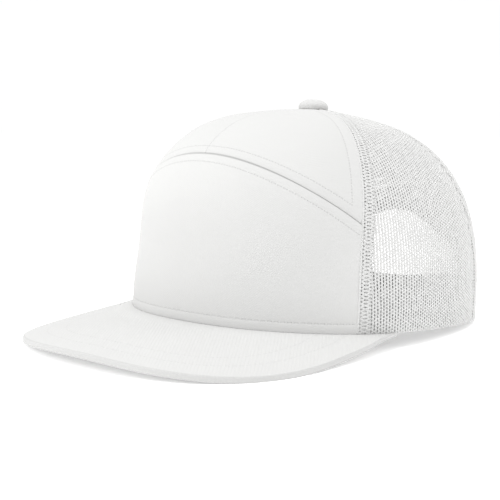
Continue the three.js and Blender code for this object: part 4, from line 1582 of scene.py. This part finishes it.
def build_seam_tapes():
    top = way_near_top(*TAPE_TOP)
    for word, side in SIDES:
        inner_tape(f"front_seam_tape_{word}", beyond(FRONT_SEAM, side), TAPE_FOOT, top, FRONT_TAPE_WIDTH,
                   TAPE_UNDER_CLOTH, TAPE_UNDER_FRONT_NET)
        inner_tape(f"side_seam_tape_{word}", beyond(SIDE_SEAM, side), TAPE_FOOT, top, NET_TAPE_WIDTH,
                   TAPE_UNDER_NET, TAPE_UNDER_NET)
    inner_tape("centre_front_tape", constant(0), arch_way(0.0), top, CENTRE_TAPE_WIDTH,
               TAPE_UNDER_CLOTH, TAPE_UNDER_CLOTH)
    foot = way_at(CENTRE_BACK, OPENING_HEIGHT + BINDING_WIDTH - TAPE_UNDER_BINDING)
    inner_tape("centre_back_tape", constant(CENTRE_BACK), foot, top, NET_TAPE_WIDTH,
               TAPE_UNDER_NET, TAPE_UNDER_NET)


def back_angle(x, height):
    """The plan angle at which the back wall has a place across and a height."""
    def outside(angle):
        return crown_face(angle, way_at(angle, height))[..., 0] > np.abs(x)

    angle = halved(np.full(np.shape(x), 95.0), np.full(np.shape(x), CENTRE_BACK), outside)
    return np.where(x < 0, 360 - angle, angle)


def arch_line(margin, steps):
    """Plan angles and ways of the opening's arch, grown by a margin, from left to right."""
    turn = np.linspace(0, np.pi, steps)
    x = (OPENING_HALF_WIDTH + margin) * np.cos(turn)
    height = (OPENING_HEIGHT + margin) * np.sin(turn)
    angle = back_angle(x, height)
    return angle, way_at(angle, height)


def build_opening_tape():
    """The tape folded over the opening's edge, rounded along its fold and thinner at its sewn edge."""
    shares = spaced(BINDING_WIDTH / MM, 0.5, (0, 0.15, 0.4, 0.7))
    angle, way = np.array([arch_line(BINDING_WIDTH * share, 260) for share in shares]).transpose(1, 0, 2)
    distance = (BINDING_WIDTH * shares)[:, None] + 0 * angle
    round_off = rolled(distance, NET_WALL / 2 + BINDING_PROUD)
    round_off = round_off + rolled(BINDING_WIDTH - distance, BINDING_PROUD)
    puff = BINDING_PUFF * np.sin(np.pi * np.clip(distance / BINDING_ROW, 0, 1))
    outer = edge_path(angle, way, -BINDING_PROUD + round_off - puff)
    inner = edge_path(angle, way, NET_WALL + BINDING_PROUD - round_off)
    from_row, along_row = beside_path(outer, edge_path(*arch_line(BINDING_ROW, 200), -BINDING_PROUD))
    beside = np.full(outer.shape, FAR)
    beside[..., 0] = np.clip(from_row, 0, ROW_REACH) * np.sign(distance - BINDING_ROW)
    cloth = np.stack([run_length(outer, 1), distance, np.zeros(angle.shape)], -1)
    tape = shell("opening_tape", outer, inner,
                 {"cloth": cloth, "row_beside": beside, "row_along": np.stack([along_row] * 3, -1)})
    finished(tape, crown_cloth("Binding tape", 0.0008, 0, 0.00008, rows=1),
             ["opening_binding"])


def strap_angle(length):
    """The plan angle at a length along the strap from its middle, positive to the wearer's left."""
    angles = np.linspace(130, 230, 400)
    ways = way_at(angles, STRAP_LIFT + STRAP_HEIGHT / 2)
    run = run_length(crown_face(angles, ways), 0)
    run = np.interp(CENTRE_BACK, angles, run) - run
    return np.interp(length, run[::-1], angles[::-1])


def strap_half(name, start, end, holes, depth, side, replaces=()):
    """Half of a snap strap, moulded with a row of round holes and a rounded end, and bent to the crown."""
    half_height = STRAP_HEIGHT / 2
    up_steps, side_steps, layers = 10, 6, 5
    points, faces = [], []

    def add_grid(grid):
        faces.extend(map(tuple, grid_faces(*grid.shape[:2], len(points))))
        points.extend(map(tuple, grid.reshape(-1, 2)))

    def block(left, right, rounded=0):
        """A plain length, of which the left end (-1) or the right end (1) can be rounded."""
        count = max(2, round((right - left) / STRAP_STEP))
        lengths = np.linspace(left, right, count + 1)
        heights = np.linspace(-half_height, half_height, up_steps + 1)[:, None] + 0 * lengths
        if rounded:
            turn = np.radians(np.linspace(0, STRAP_END_TURN, count + 1))
            run = (right - left) * np.sin(turn)
            lengths = left + run if rounded > 0 else right - run
            heights = heights * np.cos(turn) ** 0.6
        add_grid(np.stack([lengths + 0 * heights, heights], -1))

    def cell(middle):
        """The square of strap round one hole, as rings from the hole to the square's border."""
        edge_up = np.linspace(-1, 1, up_steps + 1)[:-1]
        edge_side = np.linspace(-1, 1, side_steps + 1)[:-1]
        corner = [(1, v) for v in edge_up] + [(-v, 1) for v in edge_side]
        corner += [(-1, -v) for v in edge_up] + [(v, -1) for v in edge_side]
        border = np.array(corner) * np.array([STRAP_PITCH / 2, half_height])
        turn = np.arctan2(border[:, 1], border[:, 0])
        circle = np.stack([np.cos(turn), np.sin(turn)], -1) * STRAP_HOLE
        shares = np.linspace(0, 1, layers + 1) ** 1.2
        ring = circle[None] + (border - circle)[None] * shares[:, None, None]
        add_grid(np.concatenate([ring, ring[:, :1]], 1) + np.array([middle, 0]))

    before, after = (start, holes[0] - STRAP_PITCH / 2), (holes[-1] + STRAP_PITCH / 2, end)
    plain, tip = in_order(side, before, after)
    block(*plain)
    for middle in holes:
        cell(middle)
    block(*tip, side)
    flat = np.array(points)
    angle = strap_angle(flat[:, 0])
    way = way_at(angle, STRAP_LIFT + half_height + flat[:, 1])
    half = new_object(name, edge_path(angle, way, depth), faces)
    work = bmesh.new()
    work.from_mesh(half.data)
    bmesh.ops.remove_doubles(work, verts=work.verts, dist=0.00005)
    bmesh.ops.recalc_face_normals(work, faces=work.faces)
    outside = Vector(turned_to_table(crown_outwards(CENTRE_BACK, 0.1)))
    if sum(face.normal.dot(outside) for face in work.faces) < 0:
        bmesh.ops.reverse_faces(work, faces=work.faces)
    work.to_mesh(half.data)
    work.free()
    half.data.polygons.foreach_set("use_smooth", [True] * len(half.data.polygons))
    wall = half.modifiers.new("Wall", "SOLIDIFY")
    wall.thickness = STRAP_WALL * STRAP_LAYER
    wall.offset = -1
    bevel = half.modifiers.new("Rounded edges", "BEVEL")
    bevel.width = STRAP_BEVEL
    bevel.segments = 2
    bevel.limit_method = "ANGLE"
    made = evaluated(half)
    half.modifiers.clear()
    half.data = made
    return finished(half, strap_plastic(), replaces)


def build_strap():
    """The snap closure: two moulded halves that lie on each other, held by studs through the holes."""
    first = -(STRAP_HOLES // 2)
    outer = [STRAP_PITCH * number + STRAP_PITCH / 2 for number in range(first, first + STRAP_HOLES)]
    tip = outer[-1] + STRAP_PITCH / 2 + STRAP_END
    strap_half("strap_with_holes", -STRAP_REACH, tip, outer, STRAP_DEPTH, 1, ["back_strap"])
    inner = [-place for place in reversed(outer)]
    under = STRAP_DEPTH + STRAP_WALL * STRAP_SECOND_LAYER
    strap_half("strap_with_studs", -tip, STRAP_REACH, inner, under, -1)
    angle = strap_angle(np.array([place for place in outer if place > STUDS_FROM]))
    way = way_at(angle, STRAP_LIFT + STRAP_HEIGHT / 2)
    points = new_object("studs_points", edge_path(angle, way, STRAP_DEPTH + STUD_SUNK),
                        attributes={"facing": turned_to_table(crown_outwards(angle, way))})
    studs = through_tree(points, stud_tree(), "strap_studs", material=strap_plastic())
    finished(studs, None)


# Stage

def build_camera(scene):
    """The camera, turned round its own line of sight and moved across and up the view."""
    data = bpy.data.cameras.new("Camera")
    data.lens = CAMERA_LENS
    data.sensor_width = SENSOR_WIDTH
    data.clip_start, data.clip_end = CAMERA_CLIP
    azimuth, elevation = math.radians(CAMERA_AZIMUTH), math.radians(CAMERA_ELEVATION)
    back = Vector((math.sin(azimuth) * math.cos(elevation), -math.cos(azimuth) * math.cos(elevation),
                   math.sin(elevation)))
    roll = Matrix.Rotation(math.radians(CAMERA_ROLL), 3, back)
    right = roll @ Vector((math.cos(azimuth), math.sin(azimuth), 0))
    up = back.cross(right)
    aim = Vector(CAMERA_AIM) + right * CAMERA_ASIDE + up * CAMERA_UP
    scene.camera = linked("Camera", data)
    turn = Matrix((right, up, back)).transposed().to_4x4()
    scene.camera.matrix_world = Matrix.Translation(aim + back * CAMERA_DISTANCE) @ turn
    scene.view_settings.view_transform = "Standard"


def build_stage():
    scene = bpy.context.scene
    settings = scene.cap_stage
    build_camera(scene)
    corners = [(x * FLOOR_REACH, y * FLOOR_REACH, 0) for x, y in ((-1, -1), (1, -1), (1, 1), (-1, 1))]
    floor = new_object("floor", corners, [(0, 1, 2, 3)])
    floor.data.materials.append(white_paper("White paper floor", FLOOR_COLOUR, settings.table))

    world = bpy.data.worlds.new("Studio room")
    scene.world = world
    world.use_nodes = True
    background = world.node_tree.nodes["Background"]
    background.inputs["Color"].default_value = (1, 1, 1, 1)
    background.inputs["Strength"].default_value = settings.room

    for name, place, power in LIGHTS:
        data = bpy.data.lights.new(name, "AREA")
        data.shape = "SQUARE"
        data.size = LIGHT_SIZE
        data.energy = power * settings.lights
        light = linked(name, data)
        light.location = place
        direction = Vector(LIGHT_AIM) - Vector(place)
        light.rotation_euler = direction.to_track_quat("-Z", "Y").to_euler()


# Operators

class CAP_OT_front_panels(bpy.types.Operator):
    """Builds the lower front panel and the two upper front panels"""
    bl_idname = "cap.front_panels"
    bl_label = "Front Panels"

    def execute(self, context):
        build_front_panels()
        return {"FINISHED"}


class CAP_OT_net_panels(bpy.types.Operator):
    """Knits the side and back panels"""
    bl_idname = "cap.net_panels"
    bl_label = "Net Panels"

    def execute(self, context):
        build_net_panels()
        return {"FINISHED"}


class CAP_OT_visor(bpy.types.Operator):
    """Builds the visor with its cloth and rounded edge"""
    bl_idname = "cap.visor"
    bl_label = "Visor"

    def execute(self, context):
        build_visor()
        return {"FINISHED"}


class CAP_OT_button(bpy.types.Operator):
    """Builds the covered button"""
    bl_idname = "cap.button"
    bl_label = "Button"

    def execute(self, context):
        build_button()
        return {"FINISHED"}


class CAP_OT_sweatband(bpy.types.Operator):
    """Builds the sweatband inside the rim"""
    bl_idname = "cap.sweatband"
    bl_label = "Sweatband"

    def execute(self, context):
        build_sweatband()
        return {"FINISHED"}


class CAP_OT_seam_tapes(bpy.types.Operator):
    """Builds the tapes over the seams inside the crown"""
    bl_idname = "cap.seam_tapes"
    bl_label = "Seam Tapes"

    def execute(self, context):
        build_seam_tapes()
        return {"FINISHED"}


class CAP_OT_opening_tape(bpy.types.Operator):
    """Builds the tape that binds the back opening"""
    bl_idname = "cap.opening_tape"
    bl_label = "Opening Tape"

    def execute(self, context):
        build_opening_tape()
        return {"FINISHED"}


class CAP_OT_strap(bpy.types.Operator):
    """Builds the snap strap across the opening"""
    bl_idname = "cap.strap"
    bl_label = "Strap"

    def execute(self, context):
        build_strap()
        return {"FINISHED"}


class CAP_OT_stitching(bpy.types.Operator):
    """Sews the rows of stitches"""
    bl_idname = "cap.stitching"
    bl_label = "Stitching"

    def execute(self, context):
        build_stitching()
        return {"FINISHED"}


class CAP_OT_stage(bpy.types.Operator):
    """Sets up the camera, the lights and the floor"""
    bl_idname = "cap.stage"
    bl_label = "Stage"

    def execute(self, context):
        build_stage()
        return {"FINISHED"}


class CAP_PT_cap(bpy.types.Panel):
    """Lists the cap's settings and the steps that build it"""
    bl_idname = "CAP_PT_cap"
    bl_label = "Trucker Cap"
    bl_space_type = "VIEW_3D"
    bl_region_type = "UI"
    bl_category = "Cap"

    def draw(self, context):
        for key, group in SETTINGS.items():
            box = self.layout.box()
            for name in group.__annotations__:
                box.prop(getattr(context.scene, key), name)
        for operator in OPERATORS:
            self.layout.operator(operator.bl_idname)


OPERATORS = (CAP_OT_stage, CAP_OT_front_panels, CAP_OT_net_panels, CAP_OT_visor, CAP_OT_button,
             CAP_OT_sweatband, CAP_OT_seam_tapes, CAP_OT_opening_tape, CAP_OT_strap, CAP_OT_stitching)
CLASSES = (*SETTINGS.values(), *OPERATORS, CAP_PT_cap)


def register():
    for item in CLASSES:
        bpy.utils.register_class(item)
    for key, group in SETTINGS.items():
        setattr(bpy.types.Scene, key, bpy.props.PointerProperty(type=group))


def unregister():
    for key in SETTINGS:
        delattr(bpy.types.Scene, key)
    for item in reversed(CLASSES):
        bpy.utils.unregister_class(item)


def main():
    register()
    bpy.ops.cap.stage()
    bpy.ops.cap.front_panels()
    bpy.ops.cap.net_panels()
    bpy.ops.cap.visor()
    bpy.ops.cap.button()
    bpy.ops.cap.sweatband()
    bpy.ops.cap.seam_tapes()
    bpy.ops.cap.opening_tape()
    bpy.ops.cap.strap()
    bpy.ops.cap.stitching()


if __name__ == "__main__":
    main()
